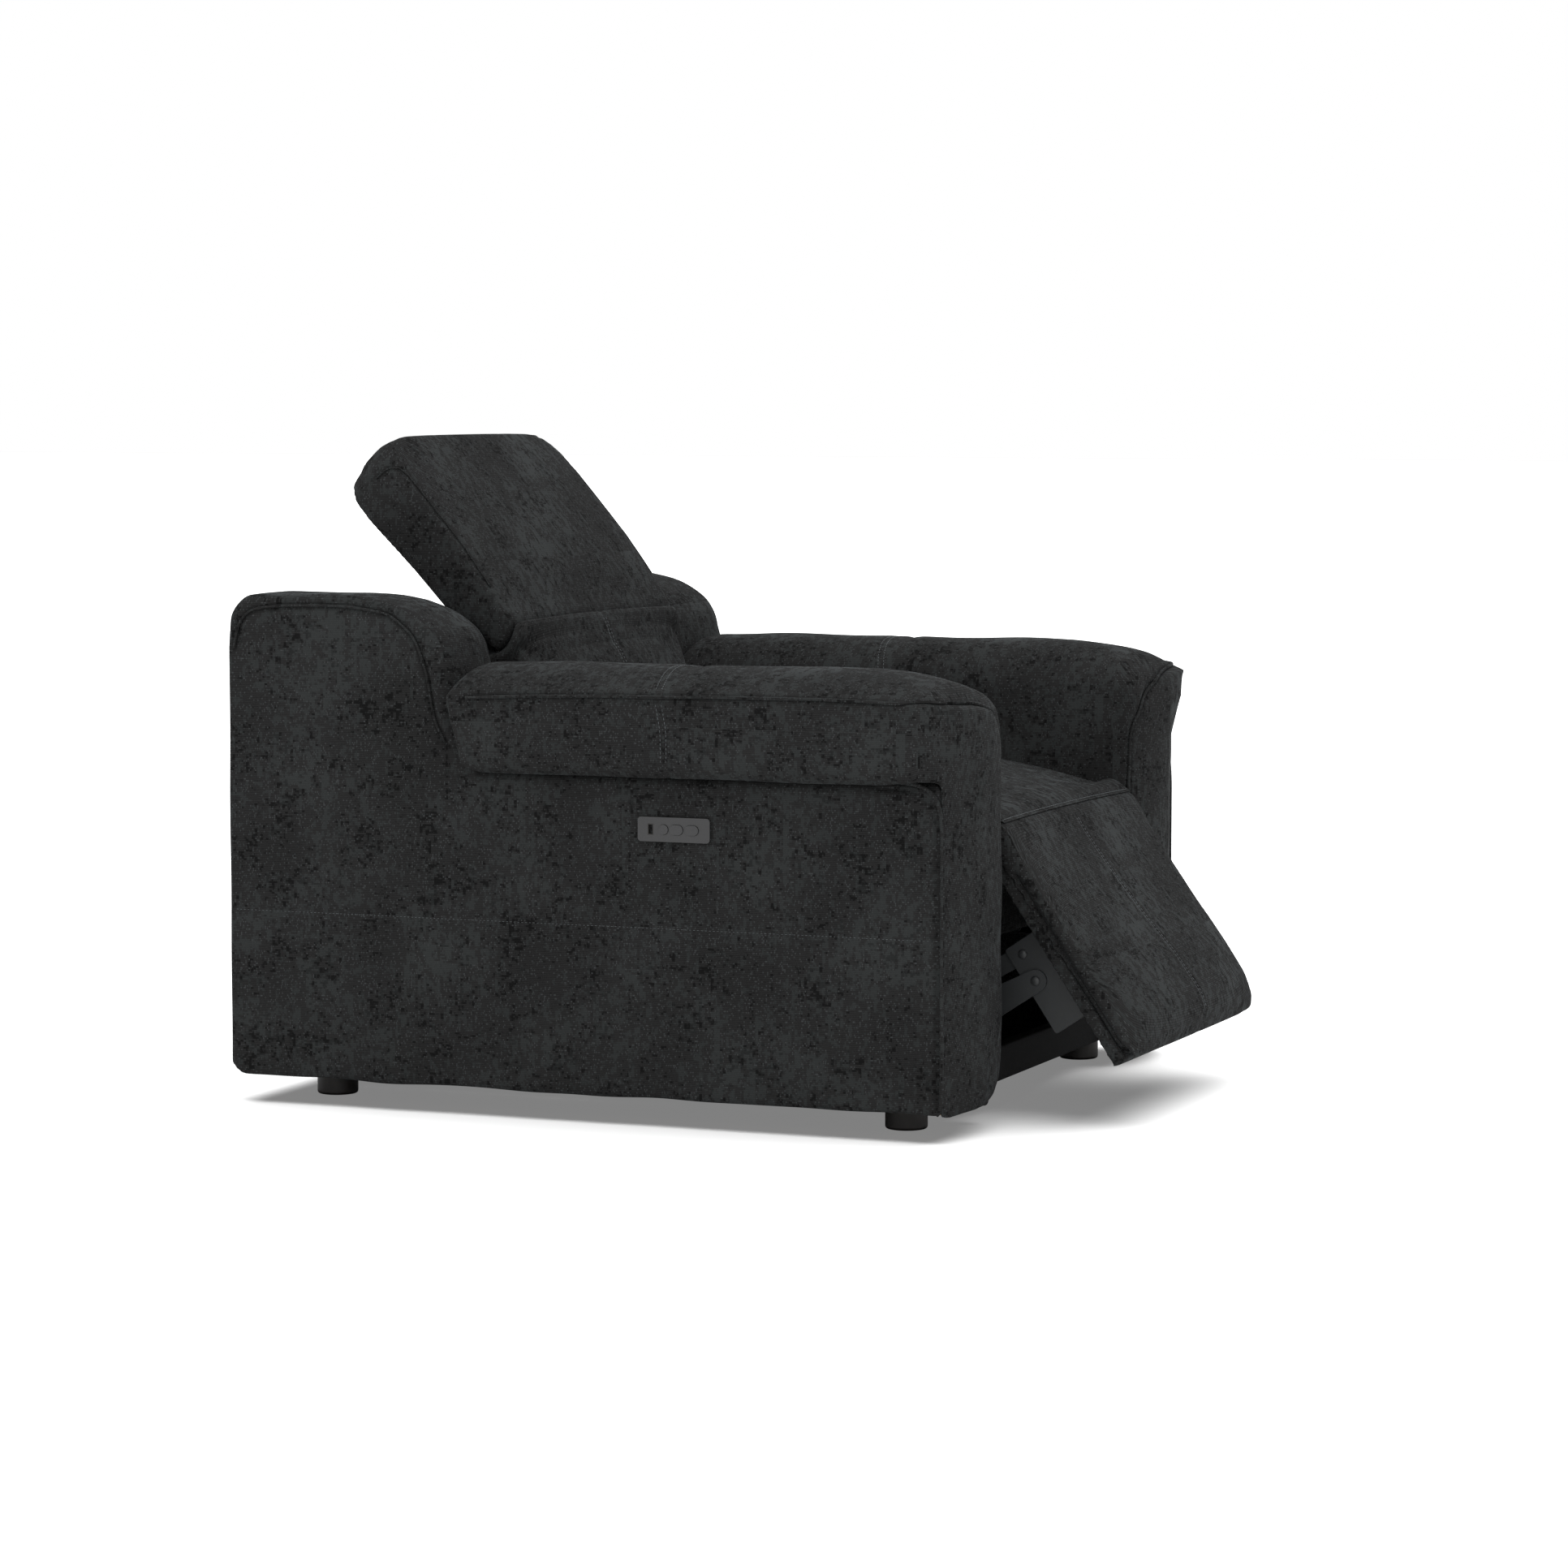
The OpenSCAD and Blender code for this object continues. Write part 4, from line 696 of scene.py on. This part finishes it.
# the front panel swells less towards its outer edge, and the crown comes down towards the front
outer = 0.15 + 0.6 * np.clip((co[:, 0] - 0.42) / 0.09, 0, 1)
outer *= np.clip((0.56 - co[:, 2]) / 0.06, 0, 1)
co[:, 1] -= np.minimum(co[:, 1] - seamY, 0) * outer
toFront = np.clip((seamY + arm["fallRun"] - co[:, 1]) / arm["fallRun"], 0, 1.1) ** 2
co[:, 2] -= arm["fall"] * toFront * np.clip((co[:, 2] - 0.59) / 0.05, 0, 1)
co = billow(co, normalsOf(leftArm.data), 0.16, 1.1 * mm, 5)
setPoints(leftArm.data, co)


def swell(k):  # the front panel's outline
    return max(0.0, 1 - abs(k) ** 2.7) ** (1 / 2.7)


frontGuide = [(307, z) for z in range(75, arm["frontTop"], 8)]
for x in list(range(307, 330, 2)) + list(range(330, 512, 5)):
    frontGuide.append((x, arm["frontTop"] + arm["frontRise"] * swell((519 - x) / 212)))
skin = skinOf(leftArm)
frontSeam, _ = cast(skin, [at(x, -90, z) for x, z in frontGuide], (0, 1, 0))
topGuide = [(16, 610), (45, 606.5), (81, 609), (120, 610), (176, 611), (296, 610), (380, 609), (467, 608),
            (617, 604.6), (700, 601)]
topSeam, _ = cast(skin, [at(700, d, z) for d, z in topGuide], (-1, 0, 0))
armSeam, armNormals = follow(skin, np.vstack([frontSeam, [at(519, 2, 616)], topSeam]))
sewIn(leftArm, armSeam, 2.2 * mm, 4.5 * mm, 0.5 * mm, 4)

around = np.radians(np.arange(-32, 196, 2))  # round the arm from outside, over its crown, to the seat
ways = np.stack([np.cos(around), np.zeros(len(around)), np.sin(around)], 1)
skin = skinOf(leftArm)
lean = np.outer(np.clip(np.sin(around), 0, 1), [0, arm["seamLean"], 0])
ring, _ = cast(skin, at(425, arm["crossSeam"], 560) + ways * 0.4 + lean, -ways)
sewIn(leftArm, ring, 1.4 * mm, 7 * mm, 0.4 * mm, 8)
skin = skinOf(leftArm)
crossRows = []
for shift in (-0.5, 0.5):
    start = at(425, arm["crossSeam"] + shift * arm["rowsApart"], 560)
    row, _ = cast(skin, start + ways * 0.4 + lean, -ways)
    crossRows.append(follow(skin, row))
flareGuide, _ = cast(skin, [at(700, 27, z) for z in range(548, 500, -5)], (-1, 0, 0))
if len(flareGuide) > 3:
    sewIn(leftArm, flareGuide, 1.2 * mm, 4 * mm)

# Side panels: board with thin padding, the wing in one with the arm, rolled over at the wing's edge
side = {"grain": 7 * mm, "seamZ": 285, "edgeR": 7 * mm, "frontTopR": 26 * mm, "panelTopR": 19 * mm,
        "rearR": 12 * mm, "lowR": 8 * mm, "rearLowR": 32 * mm, "welt": 3.2 * mm, "ridge": 2.0 * mm}
wingSeam = [(741, 500), (751, 533), (768, 562), (780, 631), (799, 682), (837, 714), (900, 724), (960, 725),
            (1020, 723), (1062, 718), (1082, 700), (1090, 660), (1092, 600)]


def wingArc(middle, reach, degrees):  # part of an ellipse, turning from the front over the top to the rear
    turns = [math.radians(a) for a in degrees]
    return [(middle[0] - reach[0] * math.cos(a), middle[1] + reach[1] * math.sin(a)) for a in turns]


wingEdge = [(716, 501), (753.7, 655)] + wingArc((920.7, 655), (167, 85), range(4, 91, 4))
wingEdge += [(1060, 740)] + wingArc((1060, 698), (42, 42), range(100, 181, 10)) + [(1102, 600)]
print("covering the sides")
leftSide = softCopy("leftSide", ["left_side_panel", "left_wing_pad"], "shell", side["grain"], 3)
refine(leftSide)
co = pointsOf(leftSide.data)
edge = resample([at(0, d, z) for d, z in wingEdge], 3 * mm)[:, 1:]
seam = resample([at(0, d, z) for d, z in wingSeam], 3 * mm)[:, 1:]
edgeTree = KDTree(len(edge))
for i, spot in enumerate(edge):
    edgeTree.insert((0, *spot), i)
edgeTree.balance()
along = np.gradient(edge, axis=0)
inward = np.stack([along[:, 1], -along[:, 0]], 1)
inward /= np.linalg.norm(inward, axis=1)[:, None]
rollR = np.array([np.linalg.norm(seam - spot, axis=1).min() for spot in edge])
rollR *= np.clip((edge[:, 1] - 0.505) / 0.04, 0, 1)
for i in np.nonzero((co[:, 0] > armOut - 45 * mm) & (co[:, 1] > seamY + 0.7) & (co[:, 2] > 0.5))[0]:
    _, spot, _ = edgeTree.find((0, co[i, 1], co[i, 2]))
    r = rollR[spot]
    inside = (co[i, 1:] - edge[spot]) @ inward[spot]
    da, db = r - inside, r - (armOut - co[i, 0])
    if da > 0 and db > 0 and math.hypot(da, db) > r:
        pull = r / math.hypot(da, db)
        co[i, 1:] += inward[spot] * (da - da * pull)
        co[i, 0] -= db - db * pull
panel = co[:, 2] < padLow
nearBand = co[:, 1] < seamY + 60 * mm
roundCorner(co, (1, 2), (seamY, padLow), side["frontTopR"], (-1, 1), nearBand & panel)
roundCorner(co, (0, 1), (armOut, seamY), side["edgeR"], (1, -1), panel)
roundCorner(co, (0, 2), (armOut, padLow - 3 * mm), side["panelTopR"], (1, 1),
            panel & (co[:, 1] < seamY + 0.7))
roundCorner(co, (0, 1), (armOut, shellBack), side["rearR"], (1, 1))
roundCorner(co, (0, 2), (armOut, shellLow), side["lowR"], (1, -1))
roundCorner(co, (1, 2), (shellBack, shellLow), side["rearLowR"], (1, -1))
co = billow(co, normalsOf(leftSide.data), 0.16, 0.9 * mm, 3)
setPoints(leftSide.data, co)
skin = skinOf(leftSide)
wingPath, _ = cast(skin, [at(700, d, z) for d, z in wingSeam[1:-1]], (-1, 0, 0))
wingPath, wingNormals = follow(skin, wingPath)
sewIn(leftSide, wingPath, 5.0 * mm, 6.0 * mm, 0.4 * mm, 6)
seamStarts = [at(700, d, side["seamZ"]) for d in range(5, 1100, 6)]
seamPath, _ = cast(skin, seamStarts, (-1, 0, 0))
sewIn(leftSide, seamPath, 1.2 * mm, 4 * mm)
border = [(7, 50), (7, 300), (7, 440), (9, 456), (14, 469), (24, 480), (40, 487), (62, 490), (95, 491)]
border, _ = follow(skin, [at(armOut / mm, d, z) for d, z in border])
sewIn(leftSide, border, 3.4 * mm, 3.6 * mm, 0.3 * mm, 7)
edgeGuide = [(95, 500), (60, 499), (38, 497), (20, 490), (8, 478), (2, 463), (-0.5, 445), (-1.5, 420),
             (-1.5, 300), (-1.5, 180), (-1.5, 90), (-1, 60), (0, 48), (6, 43)]
edgeWelt = curved([at(armOut / mm + 1.5, d, z) for d, z in edgeGuide], 4 * mm, 3)

# Outside back, a board covered in the same cloth, with its hole for the power inlet left open
print("covering the back")
outsideBack = softCopy("outsideBack", ["outside_back"], "shell", 8 * mm, 3)
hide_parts("outside_back")
layWeave(outsideBack, 1)

rightArm = mirrored(leftArm, "rightArm")
rightSide = mirrored(leftSide, "rightSide")
plateLow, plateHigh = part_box("control_plate")
co = pointsOf(rightSide.data)
pit = {"margin": 4 * mm, "reach": 6 * mm, "deep": 1.2 * mm}  # the hollow behind the control plate
behind = (co[:, 1] > plateLow.y - pit["margin"]) & (co[:, 1] < plateHigh.y + pit["margin"])
behind &= (co[:, 2] > plateLow.z - pit["margin"]) & (co[:, 2] < plateHigh.z + pit["margin"])
behind &= co[:, 0] < -armOut + pit["reach"]
co[behind, 0] = -armOut + pit["deep"]
setPoints(rightSide.data, co)
for which, piece, sign in (("left", leftArm, 1), ("right", rightArm, -1)):
    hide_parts(which + "_arm_pad", which + "_front_band", which + "_inner_panel")
    layWeave(piece, 1, (sign * 0.42, 0.57), seamY + 26 * mm)
    rows = [(path * [sign, 1, 1], normals * [sign, 1, 1]) for path, normals in crossRows]
    sewStitches(which + "ArmStitching", rows, "shell")
    welt = (armSeam + armNormals * 0.7 * mm) * [sign, 1, 1]
    tube(which + "ArmWelt", [welt], arm["welt"], "shell")
for which, piece, sign in (("left", leftSide, 1), ("right", rightSide, -1)):
    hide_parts(which + "_side_panel", which + "_wing_pad")
    layWeave(piece, 0)
    path, normals = cast(skinOf(piece), np.array(seamStarts) * [sign, 1, 1], (-sign, 0, 0))
    sewStitches(which + "SideStitching", [besides(path, normals, 3.2 * mm * sign)], "shell")
    tube(which + "SideWelt", [edgeWelt * [sign, 1, 1]], side["welt"], "shell")
    tube(which + "WingRidge", [(wingPath - wingNormals * 1.5 * mm) * [sign, 1, 1]], side["ridge"], "shell")

# Seat cushion: foam in its cover, swelling over the front edge down to the footrest
lipLook = {"start": 50, "end": 120, "arch": 9, "stitch": 9, "inner": 31.5 * mm, "close": 30.3 * mm,
           "reach": 80 * mm, "thin": 0.85}
seat = {"grain": 8 * mm, "tuck": 9 * mm, "cap": 22 * mm, "pressure": 4, "steps": 20, "stiff": 25}
print("filling the cushions")
seatPiece = softCopy("seatCushion", ["seat_cushion"], "seat", seat["grain"], 4)
seatLow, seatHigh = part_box("seat_cushion")


def seatHeld(co, normals):
    nearHinge = np.hypot(co[:, 1] - legHinge.y, co[:, 2] - legHinge.z) < 0.05
    return nearHinge | (co[:, 2] < seatLow.z + 0.02) | (co[:, 1] > seatHigh.y - 0.03)


puff(seatPiece, seat, seatHeld, seatHigh.x + 5 * mm)
refine(seatPiece)
co = pointsOf(seatPiece.data)
away = co[:, 1:] - [legHinge.y, legHinge.z]
far = np.linalg.norm(away, axis=1)
turn = np.degrees(np.arctan2(away[:, 1], away[:, 0]))
lip = (far < lipLook["reach"]) & (turn > lipLook["start"]) & (turn < 130)
tip = turn[lip & (far < 36 * mm)].max()
arch = 1 - (co[:, 0] / 0.29) ** 2
reachTo = lipLook["end"] - lipLook["arch"] * arch
share = np.clip((turn - lipLook["start"]) / (tip - lipLook["start"]), 0, 1)
newTurn = np.radians(np.where(lip, lipLook["start"] + share * (reachTo - lipLook["start"]), turn))
newFar = np.where(far < lipLook["reach"], np.maximum(far, lipLook["inner"]), far)
thin = 1 - lipLook["thin"] * share ** 3
newFar = np.where(lip & (share > 0), (newFar - lipLook["inner"]) * thin + lipLook["inner"]
                  + (lipLook["close"] - lipLook["inner"]) * share, newFar)
co[:, 1:] = np.stack([np.cos(newTurn), np.sin(newTurn)], 1) * newFar[:, None] + [legHinge.y, legHinge.z]
setPoints(seatPiece.data, co)
skin = skinOf(seatPiece)
starts, ways = [], []
for x in range(-284, 285, 6):
    t = math.radians(lipLook["end"] - lipLook["arch"] * (1 - (x / 290) ** 2) - lipLook["stitch"])
    way = np.array([0, math.cos(t), math.sin(t)])
    starts.append(np.array([x * mm, legHinge.y, legHinge.z]) + way * 0.1)
    ways.append(-way)
lipSeam, lipNormals = cast(skin, np.array(starts), np.array(ways))
sewIn(seatPiece, lipSeam, 0.9 * mm, 4.5 * mm, 0.4 * mm, 9)
sewStitches("seatStitching", [(lipSeam, lipNormals)], "seat")
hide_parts("seat_cushion")
layWeave(seatPiece, 0, (-0.1, 0.42))

apron = softCopy("apron", ["apron"], "seat", 5 * mm, 2)
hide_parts("apron")
layWeave(apron, 1)

# Back cushion and headrest, each boxed with a seam where the front meets the sides
backLip = {"start": 212, "tip": 188.5, "end": 150, "fade": 80 * mm, "fadeOver": 25 * mm,
           "inner": 40.8 * mm}
backPiece = softCopy("backCushion", ["back_cushion"], "back", 8 * mm, 4)


def backHeld(co, normals):
    nearHinge = np.hypot(co[:, 1] - headHinge.y, co[:, 2] - headHinge.z) < 0.06
    return nearHinge | (normals[:, 1] > 0.5)


puff(backPiece, seat, backHeld, high("back_cushion").x + 5 * mm)
refine(backPiece)
co = pointsOf(backPiece.data)
away = co[:, 1:] - [headHinge.y, headHinge.z]
far = np.linalg.norm(away, axis=1)
turn = np.degrees(np.arctan2(away[:, 1], away[:, 0])) % 360
share = np.clip((backLip["start"] - turn) / (backLip["start"] - backLip["tip"]), 0, 1.1) * (turn > 150)
share *= np.clip((backLip["fade"] - far) / backLip["fadeOver"], 0, 1)
newTurn = np.radians(turn - share * (backLip["tip"] - backLip["end"]))
newFar = np.where(share > 0, np.maximum(far, backLip["inner"]), far)
co[:, 1:] = np.stack([np.cos(newTurn), np.sin(newTurn)], 1) * newFar[:, None] + [headHinge.y, headHinge.z]
setPoints(backPiece.data, co)
skin = skinOf(backPiece)


def upBack(x, top=720):  # a line up the front of the back cushion
    return cast(skin, [np.array([x, -0.2, z * mm]) for z in range(490, top, 6)], (0, 1, 0))


for sign in (1, -1):
    boxing, _ = upBack(sign * 0.290)
    sewIn(backPiece, boxing, 2.0 * mm, 4.5 * mm, 0.5 * mm, 12)
middle, _ = upBack(0)
sewIn(backPiece, middle, 1.6 * mm, 5 * mm, 0.3 * mm, 13)
skin = skinOf(backPiece)
rows = [upBack(x, 712) for x in (-4.5 * mm, 4.5 * mm)]
sewStitches("backStitching", rows, "back")
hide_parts("back_cushion")
layWeave(backPiece, 0, (high("back_cushion").y - 0.05, 0.56))

head = {"grain": 7 * mm, "lean": math.radians(43), "rear": -28.6 * mm, "seamX": 0.2915, "longer": 22 * mm,
        "fuller": 9 * mm}
headPiece = softCopy("headrest", ["headrest_pad", "headrest_board"], "headrest", head["grain"], 3)
refine(headPiece)
headUp = np.array([math.sin(head["lean"]), math.cos(head["lean"])])
headFront = np.array([-math.cos(head["lean"]), math.sin(head["lean"])])
hinge = np.array([headHinge.y, headHinge.z])
co = pointsOf(headPiece.data)
u = (co[:, 1:] - hinge) @ headUp
f = (co[:, 1:] - hinge) @ headFront
flat = np.clip((u - 18 * mm) / (14 * mm), 0, 1) * np.clip((300 * mm - u) / (12 * mm), 0, 1)
flat *= np.clip((-2 * mm - f) / (10 * mm), 0, 1) * (np.abs(co[:, 0]) < 0.2965)
toRear = np.minimum(head["rear"] - f, 0) * flat
co[:, 1:] += toRear[:, None] * headFront
upper = np.clip((u - 110 * mm) / (190 * mm), 0, 1)
co[:, 1:] += upper[:, None] * (headUp * head["longer"] - headFront * head["fuller"])
setPoints(headPiece.data, co)
smoothed(headPiece, 3)
skin = skinOf(headPiece)
turns = np.radians(np.arange(-62, 82, 2))
centre = hinge + headUp * 0.14 + headFront * -0.01
for which, sign in (("Left", 1), ("Right", -1)):
    starts, ways = [], []
    for t in turns:
        way = headFront * math.cos(t) + headUp * math.sin(t)
        spot = centre + way * 0.4
        starts.append((sign * head["seamX"], spot[0], spot[1]))
        ways.append((0, -way[0], -way[1]))
    boxing, _ = cast(skin, np.array(starts), np.array(ways))
    boxing, normals = follow(skin, boxing)
    sewIn(headPiece, boxing, 2.0 * mm, 4.0 * mm, 0.5 * mm, 15)
    tube("headrestRidge" + which, [boxing + normals * 0.2 * mm], 1.2 * mm, "headrest")
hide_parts("headrest_pad", "headrest_board")
layWeave(headPiece, 0, tuple(centre))

# Footrest: its pad runs up into the hinge, with a sewn channel down the middle
leg = {"grain": 7 * mm, "lean": math.radians(33.8), "rows": 3.5 * mm, "groove": 8 * mm, "rim": 1 * mm}
legPiece = softCopy("footrestPad", ["footrest_pad"], "footrest", leg["grain"], 4)
refine(legPiece)
legDown = np.array([-math.sin(leg["lean"]), -math.cos(leg["lean"])])
legFront = np.array([-math.cos(leg["lean"]), math.sin(leg["lean"])])
hinge = np.array([legHinge.y, legHinge.z])
co = pointsOf(legPiece.data)
u = (co[:, 1:] - hinge) @ legDown
f = (co[:, 1:] - hinge) @ legFront
beside = (np.abs(co[:, 0]) > 14 * mm) & (np.abs(co[:, 0]) < 24 * mm) & (f > 0)
steps = np.arange(0.0, 0.42, 0.008)
level = np.array([f[beside & (np.abs(u - s) < 8 * mm)].max(initial=0) for s in steps])
channel = (np.abs(co[:, 0]) < 16 * mm) & (u > 0.02) & (f > 10 * mm)
short = np.interp(u, steps, level) - f
lift = np.where(channel & (u < 0.345), np.maximum(short, 0) * (short < 14 * mm), 0)
co[:, 1:] += lift[:, None] * legFront
setPoints(legPiece.data, co)
smoothed(legPiece, 2)
skin = skinOf(legPiece)
spots = np.arange(0.005, 0.352, 0.006)


def downLeg(x):  # a line down the front of the footrest
    starts = np.array([(x, *(hinge + legDown * s + legFront * 0.15)) for s in spots])
    return cast(skin, starts, (0, *-legFront))


middle, _ = downLeg(0.0)
# a groove parts the pad from the covered rim of its board
downRim = [hinge + legDown * s + legFront * leg["rim"] for s in np.arange(0.06, 0.358, 0.006)]
for sign in (1, -1):
    rim, _ = cast(skin, [(sign * 0.4, *spot) for spot in downRim], (-sign, 0, 0))
    sewIn(legPiece, rim, leg["groove"], 6 * mm, 0.5 * mm, 23)
below = hinge + legDown * 0.5 + legFront * leg["rim"]
rim, _ = cast(skin, [(x, *below) for x in np.arange(-0.29, 0.291, 0.006)], (0, *-legDown))
sewIn(legPiece, rim, leg["groove"], 6 * mm, 0.5 * mm, 24)
sewIn(legPiece, middle, 1.8 * mm, 4.5 * mm, 0.5 * mm, 21)
for sign in (1, -1):
    boxing, _ = downLeg(sign * 0.286)
    sewIn(legPiece, boxing, 1.6 * mm, 4.5 * mm, 0.5 * mm, 22)
skin = skinOf(legPiece)
sewStitches("footrestStitching", [downLeg(-leg["rows"]), downLeg(leg["rows"])], "footrest")
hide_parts("footrest_pad")
layWeave(legPiece, 0, (legHinge.y - 0.11, legHinge.z - 0.16))

legBoard = softCopy("footrestBoard", ["footrest_board"], "footrest", 5 * mm, 3)
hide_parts("footrest_board")
layWeave(legBoard, 0)

# Linings: black cloth stapled tight under the chair and behind the back
lining = {"thick": 1.0 * mm, "sag": 7 * mm, "height": 52 * mm, "wide": 0.604, "from": 36 * mm,
          "deep": 1.034, "wrapWide": 0.6096, "wrapGap": 1.2 * mm}
print("stretching the linings")


def clothGrid(name, spot, rows, columns, body):
    # a thin sheet over a grid of places, spot(i, j) with i and j from 0 to 1
    verts = [tuple(spot(i / rows, j / columns)) for i in range(rows + 1) for j in range(columns + 1)]
    wide = columns + 1
    faces = [(i * wide + j, i * wide + j + 1, (i + 1) * wide + j + 1, (i + 1) * wide + j)
             for i in range(rows) for j in range(columns)]
    mesh = bpy.data.meshes.new(name)
    mesh.from_pydata(verts, [], faces)
    piece = addPiece(name, mesh, liningCloth, body)
    thicken = piece.modifiers.new("thicken", "SOLIDIFY")
    thicken.thickness = lining["thick"]
    thicken.offset = 0
    return applied(piece)


def underPlace(i, j):
    fall = lining["sag"] * math.sin(math.pi * i) ** 0.7 * math.sin(math.pi * j) ** 0.7
    depth = seamY + lining["from"] + lining["deep"] * i
    return (lining["wide"] * (j - 0.5), depth, lining["height"] - fall)


dustCover = clothGrid("dustCover", underPlace, 60, 36, "shell")

# the rear cover hangs in the plane of its CAD solid
coverMesh = frame["nodes"]["back_cover"].data
coverCo = pointsOf(coverMesh)
coverLow, coverHigh = coverCo.min(0), coverCo.max(0)
topY = coverCo[coverCo[:, 2] > coverHigh[2] - 12 * mm][:, 1].mean()
lowY = coverCo[coverCo[:, 2] < coverLow[2] + 12 * mm][:, 1].mean()


def coverPlace(i, j):
    slack = 2.5 * mm * math.sin(math.pi * i) * math.sin(math.pi * j)
    return (coverLow[0] + (coverHigh[0] - coverLow[0]) * j, topY + (lowY - topY) * i - slack,
            coverHigh[2] + (coverLow[2] - coverHigh[2]) * i)


backCover = clothGrid("backCover", coverPlace, 40, 36, "back")
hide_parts("back_cover")

# front rail wrapped in the same black cloth, seen below the footrest
wrapRun = [(36, 44), (36, 90), (56, 90), (56, 58)]
wrapAt = resample([at(0, d, z) for d, z in wrapRun], 2 * mm)
outward = wrapAt - at(0, 46, 67)
outward /= np.linalg.norm(outward, axis=1)[:, None]
wrapAt = wrapAt + outward * lining["wrapGap"]


def railPlace(i, j):
    k = i * (len(wrapAt) - 1)
    depth, height = [np.interp(k, np.arange(len(wrapAt)), wrapAt[:, n]) for n in (1, 2)]
    return (lining["wrapWide"] * (j - 0.5), depth, height)


railWrap = clothGrid("railWrap", railPlace, 50, 30, "shell")

# Studio: one pale floor that runs on as the backdrop. A wide sun of its own lights the floor and casts the
# shadow, and a broad light from above and a side fill light the chair.
studio = {"worldLevel": 0.62, "floorSun": 24.0, "floorWay": (-0.17, 0.045, -1), "floorSpread": 92,
          "share": 0.072, "glow": 0.213, "bounce": 0.038, "above": 0.85, "left": 0.35}


def makeFloor():
    mesh = bpy.data.meshes.new("floor")
    far = 60.0
    mesh.from_pydata([(-far, -far, 0), (far, -far, 0), (far, far, 0), (-far, far, 0)], [], [(0, 1, 2, 3)])
    floor = bpy.data.objects.new("floor", mesh)
    scene.collection.objects.link(floor)
    material = bpy.data.materials.new("paleFloor")
    material.use_nodes = True
    tree = material.node_tree
    tree.nodes.clear()
    seen = addNode(tree, "ShaderNodeLightPath").outputs["Is Camera Ray"]
    plain = addNode(tree, "ShaderNodeBsdfDiffuse", {"Color": (studio["bounce"],) * 3 + (1,)})
    shown = addNode(tree, "ShaderNodeBsdfDiffuse", {"Color": (studio["share"],) * 3 + (1,)})
    glow = addNode(tree, "ShaderNodeEmission", {"Strength": studio["glow"]})
    both = addNode(tree, "ShaderNodeAddShader", links={0: shown.outputs[0], 1: glow.outputs[0]})
    mixed = addNode(tree, "ShaderNodeMixShader", links={0: seen, 1: plain.outputs[0], 2: both.outputs[0]})
    addNode(tree, "ShaderNodeOutputMaterial", links={"Surface": mixed.outputs[0]})
    mesh.materials.append(material)
    return floor


def addSun(name, way, strength, spread, floor, onFloor):
    sun = bpy.data.lights.new(name, "SUN")
    sun.energy = strength
    sun.angle = math.radians(spread)
    lamp = bpy.data.objects.new(name, sun)
    lamp.rotation_euler = Vector(way).to_track_quat("-Z", "Y").to_euler()
    scene.collection.objects.link(lamp)
    lit = bpy.data.collections.new(name + "Lights")
    lit.objects.link(floor)
    lamp.light_linking.receiver_collection = lit
    if not onFloor:
        lit.collection_objects[0].light_linking.link_state = "EXCLUDE"


floor = makeFloor()
addSun("floorSun", studio["floorWay"], studio["floorSun"] * math.pi, studio["floorSpread"], floor, True)
addSun("above", (0.12, 0.1, -1), studio["above"], 28, floor, False)
addSun("left", (0.8, 0.5, -0.45), studio["left"], 70, floor, False)
world = bpy.data.worlds.new("studio")
scene.world = world
world.use_nodes = True
tree = world.node_tree
tree.nodes.clear()
path = addNode(tree, "ShaderNodeLightPath")
seen = addNode(tree, "ShaderNodeMath", {"operation": "MAXIMUM"}, {0: path.outputs["Is Camera Ray"],
                                                                 1: path.outputs["Is Glossy Ray"]})
seen = addNode(tree, "ShaderNodeMath", {"operation": "MAXIMUM"}, {0: seen.outputs[0],
                                                                 1: path.outputs["Is Transmission Ray"]})
dim = addNode(tree, "ShaderNodeBackground", {"Color": (1, 1, 1, 1), "Strength": studio["worldLevel"]})
white = addNode(tree, "ShaderNodeBackground", {"Color": (1, 1, 1, 1), "Strength": 1.0})
mixed = addNode(tree, "ShaderNodeMixShader",
                links={0: seen.outputs[0], 1: dim.outputs[0], 2: white.outputs[0]})
addNode(tree, "ShaderNodeOutputWorld", links={"Surface": mixed.outputs[0]})
